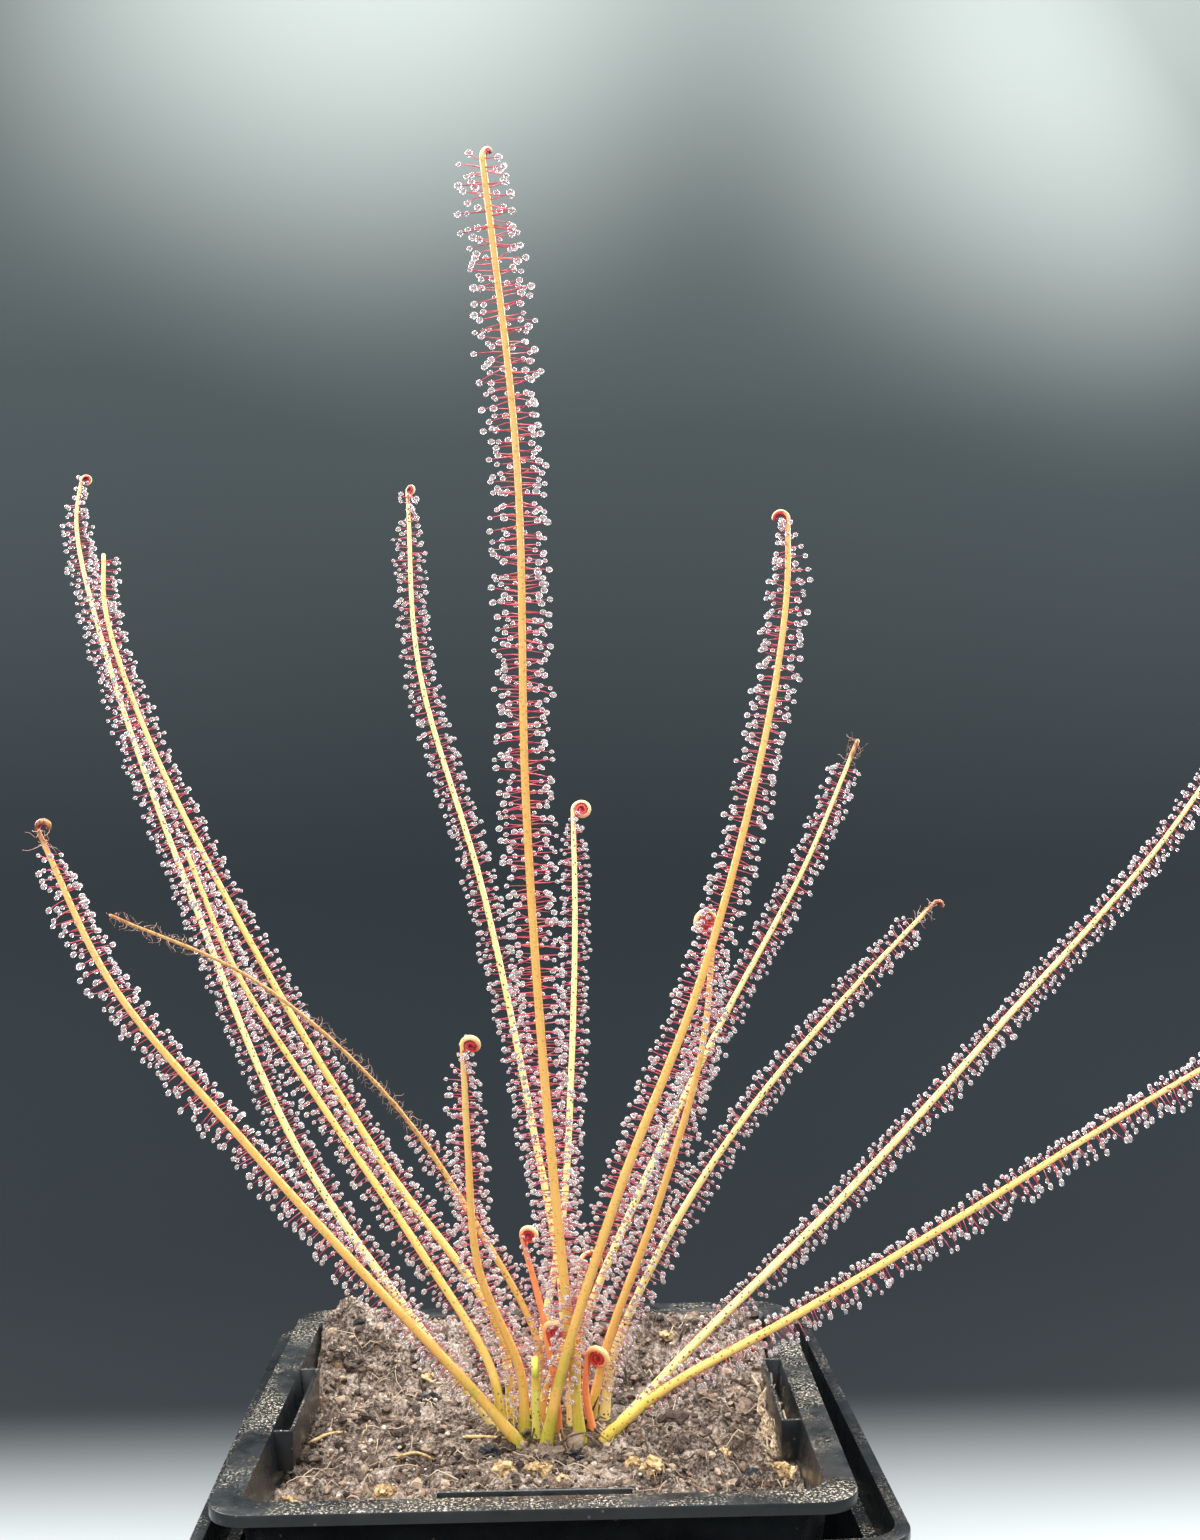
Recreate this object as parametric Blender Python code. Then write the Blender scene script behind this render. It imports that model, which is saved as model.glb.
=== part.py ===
# A thread-leaved sundew in its square nursery pot, which stands in a slightly larger square pot.
# Metres, +Z up. The origin is the centre of the outer pot's underside, and -Y is the front.

import math
import random

import bmesh
import bpy
import numpy as np
from mathutils import Matrix, Vector

MM = 0.001
SEED = 7
GAP = 0.3 * MM                    # clearance between pieces that touch

# Outer pot: a tapered square pot with a collar above an inner shoulder.
OUTER_RIM_HALF = 50.3 * MM
OUTER_HEIGHT = 83.5 * MM
OUTER_BASE_HALF = 38.0 * MM
OUTER_RIM_WIDTH = 2.0 * MM
OUTER_COLLAR = 7.7 * MM           # from the rim down to the shoulder
OUTER_SHOULDER = 2.1 * MM         # how far the shoulder steps in
OUTER_WALL = 0.8 * MM
OUTER_FLOOR = 1.2 * MM
OUTER_CORNER = 6.0 * MM
OUTER_TURN = math.radians(1.2)    # the outer pot is turned a little under the inner one

# Inner pot: a 9 cm square nursery pot with a flat rim and four stacking lugs.
INNER_RIM_HALF = 45.0 * MM
INNER_HEIGHT = 88.0 * MM
INNER_BASE_HALF = 31.0 * MM
INNER_WALL = 0.8 * MM
INNER_FLOOR = 1.0 * MM
INNER_CORNER = 5.5 * MM
RIM_OVERHANG = 3.6 * MM           # rim edge to the wall's outer face
RIM_THICK = 0.9 * MM
LIP_DROP = 1.8 * MM               # the rim's turned-down edge
LIP_THICK = 0.8 * MM
INNER_OFFSET = Vector((-1.2 * MM, -4.8 * MM, OUTER_FLOOR + GAP))

LUG_LENGTH = 28.3 * MM
LUG_REACH = 3.1 * MM              # how far a lug stands in from the wall
LUG_DEPTH = 6.5 * MM
LUG_WALL = 0.8 * MM

# Soil: fills the inner pot to a little under its rim.
SOIL_BELOW_RIM = 8.0 * MM
SOIL_CELLS = 19
SOIL_ROUGHNESS = 0.7 * MM
MOUND_AT = Vector((-35.0 * MM, 36.0 * MM))
MOUND_HEIGHT = 5.5 * MM
MOUND_RADIUS = 8.0 * MM
HOLLOW_AT = Vector((31.0 * MM, -22.0 * MM))
HOLLOW_DEPTH = 3.5 * MM
HOLLOW_RADIUS = 5.0 * MM

# Crown: the short rootstock that the leaves rise from, sunk in the soil.
CROWN_CENTRE = Vector((1.8 * MM, 0.2 * MM))
CROWN_HALF = (12.8 * MM, 9.8 * MM)
CROWN_TOP = -0.3 * MM             # below the level that leaf paths start from
CROWN_DEPTH = 5.0 * MM
FOOT_DEPTH = 3.4 * MM             # how deep a leaf's foot stands in its socket

# Tentacles: a thin stalk with a round gland in its drop of dew.
STALK_ROOT = 0.3 * MM
STALK_NECK = 0.17 * MM
BEAD_RADIUS = 0.55 * MM
BEAD_LENGTH = 1.0 * MM
TENTACLE_PITCH = 5.4 * MM
TENTACLE_ROWS = (82, -82, 50, -104, 104, -50)   # degrees round the leaf from its furry face
TENTACLE_CLEAR = 1.0 * MM

# Each leaf: a path in mm from the crown's centre at soil level, its radius at the foot and at the
# tip in mm, the coil at its tip (radius in mm, turns, the way it curls) and the reach of its
# tentacles in mm. Dry tips bear no dew, so tentacles stop at the share of the leaf given by "until".
LEAVES = {
    "leaf_01": {
        "path": [(3.5, -5.5, 0), (2, -9, 19), (-1, -18, 58), (-3, -35, 104), (-3, -56, 149), (-6, -77, 182)],
        "radius": (1.0, 0.45), "coil": (0.9, 0.4, (0.6, 0.8, 0)), "reach": 3.6},
    "leaf_02": {
        "path": [(-1.5, 5.5, 0), (1, 6, 16), (-4, 10, 49), (-12, 15, 88), (-23, 22, 127), (-25, 27, 159)],
        "radius": (0.85, 0.4), "coil": (0.8, 0.75, (0.8, -0.6, 0)), "reach": 2.6},
    "leaf_03": {
        "path": [(-4, 7, 0), (-3, 11, 10), (1, 17, 30), (3, 24, 56), (4, 30, 81), (4, 35, 101)],
        "radius": (0.85, 0.5), "coil": (1.6, 1.4, (1, 0, 0)), "reach": 2.6},
    "leaf_04": {
        "path": [(-10.5, 1.5, 0), (-22, 5, 14), (-44, 12, 44), (-63, 22, 85), (-80, 32, 128), (-87.5, 38, 155),
                 (-87, 40, 164)],
        "radius": (0.9, 0.4), "coil": (0.9, 0.75, (1, 0, 0)), "reach": 2.6},
    "leaf_05": {
        "path": [(-7.5, 2, 0), (-10, 3, 16), (-29, 6, 43), (-50, 9, 78), (-69, 14, 115), (-76.5, 16, 137),
                 (-77, 17, 147)],
        "radius": (0.9, 0.4), "coil": None, "reach": 2.6},
    "leaf_06": {
        "path": [(-9, -2, 0), (-11, -2, 11), (-22, -2, 30), (-37, -2, 53), (-51, -3, 76), (-59, -3, 96)],
        "radius": (0.9, 0.4), "coil": None, "reach": 2.4},
    "leaf_07": {
        "path": [(-4.5, 3.5, 0), (-3, 2, 12), (-12, -3, 33), (-26, -11, 57), (-45, -21, 77), (-64, -31, 88)],
        "radius": (0.7, 0.35), "coil": None, "reach": 1.9, "until": 0.8},
    "leaf_08": {
        "path": [(-6.5, -5.5, 0), (-14, -8, 10), (-29, -14, 29), (-47, -22, 53), (-64, -31, 78), (-72, -39, 101)],
        "radius": (1.0, 0.45), "coil": (1.0, 0.6, (1, 0, 0)), "reach": 3.2},
    "leaf_09": {
        "path": [(-5.5, -2, 0), (-6, -5, 11), (-12, -13, 30), (-13, -21, 51), (-13, -29, 68)],
        "radius": (0.95, 0.5), "coil": (1.2, 0.9, (0.9, 0.4, 0)), "reach": 2.4},
    "leaf_10": {
        "path": [(-2, -7, 0), (1, -11, 14), (10, -18, 43), (23, -27, 78), (32, -36, 114), (34.5, -41, 133),
                 (34.5, -43, 143)],
        "radius": (1.05, 0.45), "coil": (1.1, 0.5, (-1, 0, 0)), "reach": 2.8},
    "leaf_11": {
        "path": [(5, 1, 0), (8, 0, 13), (17, -3, 38), (24, -7, 63), (26, -11, 84)],
        "radius": (0.9, 0.5), "coil": (1.4, 1.4, (-0.75, -0.65, 0)), "reach": 2.6},
    "leaf_12": {
        "path": [(1.5, 6.5, 0), (4, 8, 13), (14, 12, 35), (29, 18, 63), (45, 24, 90), (56, 29, 113)],
        "radius": (0.9, 0.4), "coil": None, "reach": 2.6, "until": 0.95},
    "leaf_13": {
        "path": [(7.5, 3, 0), (9, 3, 10), (18, 4, 29), (33, 5, 51), (50, 6, 70), (65, 7, 85)],
        "radius": (0.9, 0.4), "coil": (0.9, 0.4, (0.3, 0, -1)), "reach": 2.4, "until": 0.95},
    "leaf_14": {
        "path": [(9.5, -0.5, 0), (22, 2, 12), (49, 9, 35), (80, 18, 64), (111, 27, 94), (133, 35, 121)],
        "radius": (0.95, 0.4), "coil": (0.9, 0.6, (-1, 0, 0)), "reach": 2.6},
    "leaf_15": {
        "path": [(7.5, -4.5, 0), (17, -6, 8), (39, -9, 21), (66, -13, 38), (92, -17, 55), (113, -21, 68)],
        "radius": (0.95, 0.4), "coil": (0.9, 0.6, (-1, 0, 0)), "reach": 3.0},
    "young_leaf_1": {
        "path": [(0, 2, 0), (-2, 0.5, 16.5), (-5.5, -1, 32)],
        "radius": (0.7, 0.55), "coil": (1.35, 1.3, (0.9, -0.3, 0)), "reach": 1.6},
    "young_leaf_2": {
        "path": [(0, -3, 0), (-0.5, -5.5, 10), (-1.8, -8, 18.5)],
        "radius": (0.7, 0.55), "coil": (1.35, 1.3, (0.9, -0.3, 0)), "reach": 0},
    "young_leaf_3": {
        "path": [(5.5, -2, 0), (4.5, -4, 7.5), (5, -6, 14)],
        "radius": (0.7, 0.55), "coil": (1.35, 1.3, (0.5, -0.8, 0)), "reach": 0},
    "young_leaf_4": {
        "path": [(-3.5, -4, 0), (-3.5, -7, 7), (-3.5, -9.5, 14)],
        "radius": (0.75, 0.55), "coil": (1.1, 0.8, (0, -1, 0)), "reach": 0},
    "young_leaf_5": {
        "path": [(3, 4, 0), (3.5, 4, 14), (4, 4, 26)],
        "radius": (0.65, 0.5), "coil": (1.9, 0.6, (1, 0.2, 0)), "reach": 1.6},
    "young_leaf_6": {
        "path": [(-3, 0, 0), (-2, -1, 7), (0, -2.5, 12.5)],
        "radius": (0.65, 0.4), "coil": None, "reach": 0},
    "young_leaf_7": {
        "path": [(2, -1, 0), (1.8, -0.8, 6), (2.4, -0.6, 12)],
        "radius": (0.65, 0.4), "coil": None, "reach": 0},
}
RINGS_PER_MM = 1 / 11.0           # rings along a leaf for each mm of its length
COIL_STEP = math.radians(48)
FURRY_SIDE = Vector((0, 1, 0))    # the leaves turn their bare backs to the front


def clear_scene():
    for old in list(bpy.data.objects):
        bpy.data.objects.remove(old, do_unlink=True)


def new_collection(name):
    collection = bpy.data.collections.new(name)
    bpy.context.scene.collection.children.link(collection)
    return collection


def finish_material(name, colour, roughness, metallic=0.0):
    material = bpy.data.materials.new(name)
    material.use_nodes = True
    shader = material.node_tree.nodes["Principled BSDF"]
    shader.inputs["Base Color"].default_value = (*colour, 1.0)
    shader.inputs["Roughness"].default_value = roughness
    shader.inputs["Metallic"].default_value = metallic
    material.diffuse_color = (*colour, 1.0)
    return material


def add_object(name, mesh, collection, material=None):
    obj = bpy.data.objects.new(name, mesh)
    collection.objects.link(obj)
    if material:
        mesh.materials.append(material)
    return obj


def mesh_from(bm, name):
    bmesh.ops.recalc_face_normals(bm, faces=bm.faces)
    mesh = bpy.data.meshes.new(name)
    bm.to_mesh(mesh)
    bm.free()
    return mesh


def hide_cutter(obj):
    obj.hide_render = True
    obj.display_type = "WIRE"


def settle(obj):
    # Replaces an object's mesh with what its modifiers make of it.
    graph = bpy.context.evaluated_depsgraph_get()
    mesh = bpy.data.meshes.new_from_object(obj.evaluated_get(graph))
    old = obj.data
    obj.modifiers.clear()
    obj.data = mesh
    bpy.data.meshes.remove(old)


def boolean(obj, operation, other, solver="EXACT"):
    modifier = obj.modifiers.new(operation.lower(), "BOOLEAN")
    modifier.operation = operation
    modifier.solver = solver
    if isinstance(other, bpy.types.Collection):
        modifier.operand_type = "COLLECTION"
        modifier.collection = other
    else:
        modifier.object = other
    return modifier


# Square pots

def corner_point(u, v, half, corner):
    # Maps a point of the square -1..1 onto a square with rounded corners.
    reach = max(abs(u), abs(v))
    if reach == 0:
        return Vector((0, 0))
    x = u / reach * half
    y = v / reach * half
    straight = half - corner
    dx = abs(x) - straight
    dy = abs(y) - straight
    if dx > 0 and dy > 0:
        shrink = corner / math.hypot(dx, dy)
        x = math.copysign(straight + dx * shrink, x)
        y = math.copysign(straight + dy * shrink, y)
    return Vector((x, y)) * reach


def square_ring(bm, half, corner, z, steps=3):
    ring = []
    for quarter in range(4):
        for step in range(steps + 1):
            angle = math.radians(90) * (quarter + step / steps)
            sx = (1, -1, -1, 1)[quarter]
            sy = (1, 1, -1, -1)[quarter]
            x = sx * (half - corner) + corner * math.cos(angle)
            y = sy * (half - corner) + corner * math.sin(angle)
            ring.append(bm.verts.new((x, y, z)))
    return ring


def square_shell(name, sections):
    # Lofts a closed shell through rounded squares, each given as (half width, corner, height).
    bm = bmesh.new()
    rings = [square_ring(bm, *section) for section in sections]
    for lower, upper in zip(rings, rings[1:]):
        for i in range(len(lower)):
            j = (i + 1) % len(lower)
            bm.faces.new((lower[i], lower[j], upper[j], upper[i]))
    bm.faces.new(rings[0])
    bm.faces.new(rings[-1])
    return mesh_from(bm, name)


def box_object(name, size, centre, turn, collection):
    bm = bmesh.new()
    bmesh.ops.create_cube(bm, size=1.0)
    bmesh.ops.scale(bm, vec=size, verts=bm.verts)
    bmesh.ops.translate(bm, vec=centre, verts=bm.verts)
    bmesh.ops.rotate(bm, matrix=Matrix.Rotation(turn, 3, "Z"), verts=bm.verts)
    obj = add_object(name, mesh_from(bm, name), collection)
    hide_cutter(obj)
    return obj


def make_outer_pot(parts):
    shoulder = OUTER_HEIGHT - OUTER_COLLAR
    collar_out = OUTER_RIM_HALF - OUTER_RIM_WIDTH + OUTER_WALL
    collar_in = OUTER_RIM_HALF - OUTER_RIM_WIDTH
    body_in = collar_in - OUTER_SHOULDER
    sections = [
        (OUTER_BASE_HALF, OUTER_CORNER, 0),
        (body_in + OUTER_WALL, OUTER_CORNER, shoulder - OUTER_WALL),
        (collar_out, OUTER_CORNER, shoulder - OUTER_WALL),
        (collar_out, OUTER_CORNER, OUTER_HEIGHT - 1.5 * MM),
        (OUTER_RIM_HALF, OUTER_CORNER, OUTER_HEIGHT - 1.5 * MM),
        (OUTER_RIM_HALF, OUTER_CORNER, OUTER_HEIGHT),
        (collar_in, OUTER_CORNER - OUTER_WALL, OUTER_HEIGHT),
        (collar_in, OUTER_CORNER - OUTER_WALL, shoulder),
        (body_in, OUTER_CORNER - OUTER_WALL, shoulder),
        (OUTER_BASE_HALF - OUTER_WALL, OUTER_CORNER - OUTER_WALL, OUTER_FLOOR),
    ]
    material = finish_material("outer_pot_plastic", (0.012, 0.013, 0.015), 0.45)
    pot = add_object("outer_pot", square_shell("outer_pot", sections), parts, material)
    pot.rotation_euler.z = OUTER_TURN
    return pot


def inner_half(z):
    # Half width of the inner pot's cavity at a height above its own underside.
    top = INNER_RIM_HALF - RIM_OVERHANG - INNER_WALL
    bottom = INNER_BASE_HALF - INNER_WALL
    return bottom + (top - bottom) * (z - INNER_FLOOR) / (INNER_HEIGHT - INNER_FLOOR)


def make_inner_pot(parts, cutters):
    wall_top = INNER_RIM_HALF - RIM_OVERHANG
    under = INNER_HEIGHT - RIM_THICK
    inside_corner = INNER_CORNER - 1.5 * MM
    sections = [
        (INNER_BASE_HALF, INNER_CORNER, 0),
        (wall_top, inside_corner + INNER_WALL, under),
        (INNER_RIM_HALF - LIP_THICK, INNER_CORNER, under),
        (INNER_RIM_HALF - LIP_THICK, INNER_CORNER, INNER_HEIGHT - LIP_DROP),
        (INNER_RIM_HALF, INNER_CORNER, INNER_HEIGHT - LIP_DROP),
        (INNER_RIM_HALF, INNER_CORNER, INNER_HEIGHT),
        (inner_half(INNER_HEIGHT), inside_corner, INNER_HEIGHT),
        (inner_half(INNER_FLOOR), inside_corner, INNER_FLOOR),
    ]
    material = finish_material("inner_pot_plastic", (0.014, 0.015, 0.017), 0.4)
    pot = add_object("inner_pot", square_shell("inner_pot", sections), parts, material)
    lugs = bpy.data.collections.new("lugs")
    pockets = bpy.data.collections.new("pockets")
    cutters.children.link(lugs)
    cutters.children.link(pockets)
    wall = inner_half(INNER_HEIGHT)
    depth = LUG_REACH + 0.4 * MM
    pocket_depth = LUG_REACH - LUG_WALL
    for side in range(4):
        turn = math.radians(90) * side
        box_object(f"lug_{side}", (depth, LUG_LENGTH, LUG_DEPTH),
                   (wall + 0.4 * MM - depth / 2, 0, INNER_HEIGHT - LUG_DEPTH / 2), turn, lugs)
        box_object(f"pocket_{side}", (pocket_depth, LUG_LENGTH - 2 * LUG_WALL, LUG_DEPTH),
                   (wall - pocket_depth / 2, 0, INNER_HEIGHT - LUG_DEPTH / 2 + LUG_WALL), turn, pockets)
    boolean(pot, "UNION", lugs)
    boolean(pot, "DIFFERENCE", pockets)
    settle(pot)
    for spent in list(lugs.objects) + list(pockets.objects):
        bpy.data.objects.remove(spent, do_unlink=True)
    pot.location = INNER_OFFSET
    return pot


# Soil and crown

def soil_level():
    return INNER_OFFSET.z + INNER_HEIGHT - SOIL_BELOW_RIM


def bump(x, y, centre, radius, height):
    away = (Vector((x, y)) - centre).length / radius
    return height * math.exp(-away * away)


def make_soil(parts, cutters):
    rng = random.Random(SEED)
    waves = []
    for _ in range(9):
        angle = rng.uniform(0, math.tau)
        pitch = rng.uniform(350, 900)
        waves.append((pitch * math.cos(angle), pitch * math.sin(angle), rng.uniform(0, math.tau)))
    level = INNER_HEIGHT - SOIL_BELOW_RIM
    margin = GAP + 0.1 * MM
    inside_corner = INNER_CORNER - 1.5 * MM
    bm = bmesh.new()
    bmesh.ops.create_grid(bm, x_segments=SOIL_CELLS, y_segments=SOIL_CELLS, size=1.0)
    border = [edge for edge in bm.edges if edge.is_boundary]
    for vert in bm.verts:
        flat = corner_point(vert.co.x, vert.co.y, inner_half(level), inside_corner)
        rough = sum(math.sin(kx * flat.x + ky * flat.y + phase) for kx, ky, phase in waves) / 3
        near_crown = bump(flat.x, flat.y, Vector((3 * MM, 5 * MM)), 16 * MM, 1.0)
        z = level + SOIL_ROUGHNESS * rough * (1 - 0.8 * near_crown) - 0.6 * MM * near_crown
        z += bump(flat.x, flat.y, MOUND_AT, MOUND_RADIUS, MOUND_HEIGHT)
        z -= bump(flat.x, flat.y, HOLLOW_AT, HOLLOW_RADIUS, HOLLOW_DEPTH)
        place = corner_point(vert.co.x, vert.co.y, inner_half(min(z, level)) - margin, inside_corner)
        vert.co = (place.x, place.y, z)
    skirt = bmesh.ops.extrude_edge_only(bm, edges=border)["geom"]
    bottom = INNER_FLOOR + GAP
    shrink = (inner_half(bottom) - margin) / (inner_half(level) - margin)
    for vert in skirt:
        if isinstance(vert, bmesh.types.BMVert):
            vert.co = (vert.co.x * shrink, vert.co.y * shrink, bottom)
    bmesh.ops.holes_fill(bm, edges=[edge for edge in bm.edges if edge.is_boundary])
    material = finish_material("peat_soil", (0.09, 0.06, 0.045), 0.95)
    soil = add_object("soil", mesh_from(bm, "soil"), parts, material)
    soil.location = INNER_OFFSET
    hole = crown_block("crown_hole", GAP, CROWN_DEPTH + GAP, 12 * MM, cutters)
    boolean(soil, "DIFFERENCE", hole)
    settle(soil)
    bpy.data.objects.remove(hole, do_unlink=True)
    return soil


def crown_block(name, grow, depth, rise, collection):
    # An upright oval block about the crown, from below soil level to above it.
    bm = bmesh.new()
    bmesh.ops.create_cone(bm, cap_ends=True, segments=24, radius1=1, radius2=1, depth=depth + rise)
    bmesh.ops.scale(bm, vec=(CROWN_HALF[0] + grow, CROWN_HALF[1] + grow, 1), verts=bm.verts)
    middle = (CROWN_CENTRE.x, CROWN_CENTRE.y, soil_level() + (rise - depth) / 2)
    bmesh.ops.translate(bm, vec=middle, verts=bm.verts)
    return add_object(name, mesh_from(bm, name), collection)


def make_crown(parts, cutters):
    crown = crown_block("crown", 0, CROWN_DEPTH, CROWN_TOP, parts)
    crown.data.materials.append(finish_material("crown_bark", (0.16, 0.09, 0.04), 0.8))
    sockets = bpy.data.collections.new("sockets")
    cutters.children.link(sockets)
    for name, leaf in LEAVES.items():
        bm = bmesh.new()
        radius = leaf["radius"][0] * MM + GAP + 0.05 * MM
        depth = FOOT_DEPTH + GAP + 2 * MM
        bmesh.ops.create_cone(bm, cap_ends=True, segments=8, radius1=radius, radius2=radius, depth=depth)
        foot = plant_point(leaf["path"][0])
        bmesh.ops.translate(bm, vec=foot + Vector((0, 0, 2 * MM - depth / 2)), verts=bm.verts)
        add_object("socket_" + name, mesh_from(bm, name), sockets)
    boolean(crown, "DIFFERENCE", sockets)
    settle(crown)
    for socket in list(sockets.objects):
        bpy.data.objects.remove(socket, do_unlink=True)
    return crown


# Leaves

def plant_point(point):
    return Vector((CROWN_CENTRE.x, CROWN_CENTRE.y, soil_level())) + Vector(point) * MM


def smooth_path(points, rings):
    # Points along a centripetal Catmull-Rom curve through the given points.
    padded = [points[0] * 2 - points[1]] + points + [points[-1] * 2 - points[-2]]
    spans = []
    for p0, p1, p2, p3 in zip(padded, padded[1:], padded[2:], padded[3:]):
        knots = [0.0]
        for a, b in ((p0, p1), (p1, p2), (p2, p3)):
            knots.append(knots[-1] + math.sqrt((b - a).length))
        spans.append((p0, p1, p2, p3, knots))
    lengths = [(span[2] - span[1]).length for span in spans]
    total = sum(lengths)
    result = []
    for span, length in zip(spans, lengths):
        steps = max(2, round(rings * length / total))
        result += [catmull(span, step / steps) for step in range(steps)]
    result.append(points[-1].copy())
    return result


def catmull(span, share):
    p0, p1, p2, p3, (t0, t1, t2, t3) = span
    t = t1 + (t2 - t1) * share
    a1 = p0.lerp(p1, (t - t0) / (t1 - t0))
    a2 = p1.lerp(p2, (t - t1) / (t2 - t1))
    a3 = p2.lerp(p3, (t - t2) / (t3 - t2))
    b1 = a1.lerp(a2, (t - t0) / (t2 - t0))
    b2 = a2.lerp(a3, (t - t1) / (t3 - t1))
    return b1.lerp(b2, (t - t1) / (t2 - t1))


def leaf_line(leaf):
    # The centre line of a leaf with its radii: a straight foot, the path and the coil.
    points = [plant_point(p) for p in leaf["path"]]
    length = sum((b - a).length for a, b in zip(points, points[1:]))
    line = smooth_path(points, max(4, round(length / MM * RINGS_PER_MM)))
    foot_radius, tip_radius = (r * MM for r in leaf["radius"])
    radii = [foot_radius + (tip_radius - foot_radius) * (i / (len(line) - 1)) ** 0.8 for i in range(len(line))]
    blade = len(line)
    line.insert(0, points[0] - Vector((0, 0, FOOT_DEPTH)))
    radii.insert(0, foot_radius)
    if leaf["coil"]:
        size, turns, way = leaf["coil"]
        coil = coil_points(line[-1], line[-1] - line[-2], size * MM, turns, Vector(way))
        line += coil
        radii += [tip_radius * (1 - 0.25 * (i + 1) / len(coil)) for i in range(len(coil))]
    return line, radii, blade


def coil_points(start, heading, size, turns, way):
    # A flat spiral that leaves the tip along its heading and winds in towards its own centre.
    ahead = heading.normalized()
    side = (way - ahead * way.dot(ahead)).normalized()
    centre = start + side * size
    steps = max(2, round(math.tau * turns / COIL_STEP))
    inner = size * (0.25 if turns > 1 else 0.75)
    points = []
    for step in range(1, steps + 1):
        share = step / steps
        angle = math.tau * turns * share
        radius = size + (inner - size) * share
        points.append(centre - side * radius * math.cos(angle) + ahead * radius * math.sin(angle))
    return points


def stem_mesh(name, line, radii):
    curve = bpy.data.curves.new(name, "CURVE")
    curve.dimensions = "3D"
    curve.bevel_depth = 1.0
    curve.bevel_resolution = 1
    curve.use_fill_caps = True
    spline = curve.splines.new("POLY")
    spline.points.add(len(line) - 1)
    for point, place, radius in zip(spline.points, line, radii):
        point.co = (*place, 1.0)
        point.radius = radius
    obj = bpy.data.objects.new(name, curve)
    bpy.context.scene.collection.objects.link(obj)
    graph = bpy.context.evaluated_depsgraph_get()
    mesh = bpy.data.meshes.new_from_object(obj.evaluated_get(graph))
    bpy.data.objects.remove(obj, do_unlink=True)
    bm = bmesh.new()
    bm.from_mesh(mesh)
    bpy.data.meshes.remove(mesh)
    bmesh.ops.remove_doubles(bm, verts=bm.verts, dist=0.00001)
    return mesh_from(bm, name)


def tentacle_mesh(name, root, direction, reach, sink):
    # A three-sided stalk, wider at its root, with a bead at its end, turned from one profile.
    neck = reach - BEAD_LENGTH
    profile = [(STALK_ROOT, -sink), (STALK_NECK, neck), (BEAD_RADIUS, neck + 0.5 * BEAD_LENGTH), (0, reach)]
    bm = bmesh.new()
    verts = [bm.verts.new((x, 0, z)) for x, z in profile]
    edges = [bm.edges.new(pair) for pair in zip(verts, verts[1:])]
    bmesh.ops.spin(bm, geom=verts + edges, axis=(0, 0, 1), cent=(0, 0, 0), steps=3, angle=math.tau, use_merge=True)
    bmesh.ops.remove_doubles(bm, verts=bm.verts, dist=0.000001)
    bmesh.ops.holes_fill(bm, edges=[edge for edge in bm.edges if edge.is_boundary])
    turn = direction.to_track_quat("Z", "Y").to_matrix().to_4x4()
    bmesh.ops.transform(bm, matrix=Matrix.Translation(root) @ turn, verts=bm.verts)
    return mesh_from(bm, name)


def tentacle_sites(leaf, line, radii, blade, rng):
    # Yields (root on the centre line, direction, leaf radius there) along the leaf, all the way out.
    if not leaf["reach"]:
        return
    travelled = 0.0
    total = sum((line[i + 1] - line[i]).length for i in range(1, blade))
    wanted = 0.12 * total
    last = leaf.get("until", 1.0) * total
    count = rng.randrange(6)
    for i in range(1, blade):
        a, b = line[i], line[i + 1] if i + 1 < len(line) else line[i]
        step = (b - a).length
        while step and wanted <= travelled + step and wanted <= last:
            share = (wanted - travelled) / step
            along = (b - a).normalized()
            front = (FURRY_SIDE - along * FURRY_SIDE.dot(along)).normalized()
            turn = math.radians(TENTACLE_ROWS[count % 6] + rng.uniform(-8, 8))
            direction = Matrix.Rotation(turn, 3, along) @ front
            radius = radii[i] + (radii[min(i + 1, len(radii) - 1)] - radii[i]) * share
            yield a.lerp(b, share), direction, radius
            count += 1
            wanted += TENTACLE_PITCH * rng.uniform(0.85, 1.1)
        travelled += step


def is_clear(samples, own, crowd):
    for name, points in crowd.items():
        if name != own and np.min(np.linalg.norm(points[:, None] - samples[None], axis=2)) < TENTACLE_CLEAR:
            return False
    return True


def dense_samples(line, radii, spacing=0.8 * MM):
    # Points over the skin of a leaf, close enough together to keep tentacles off it.
    samples = []
    for i in range(len(line) - 1):
        a, b = line[i], line[i + 1]
        steps = max(1, math.ceil((b - a).length / spacing))
        along = (b - a).normalized()
        side = along.orthogonal().normalized()
        for k in range(steps):
            middle = a.lerp(b, k / steps)
            for quarter in range(4):
                turned = Matrix.Rotation(math.radians(90) * quarter, 3, along) @ side
                samples.append(middle + turned * radii[i])
    return np.array([tuple(p) for p in samples])


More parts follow.
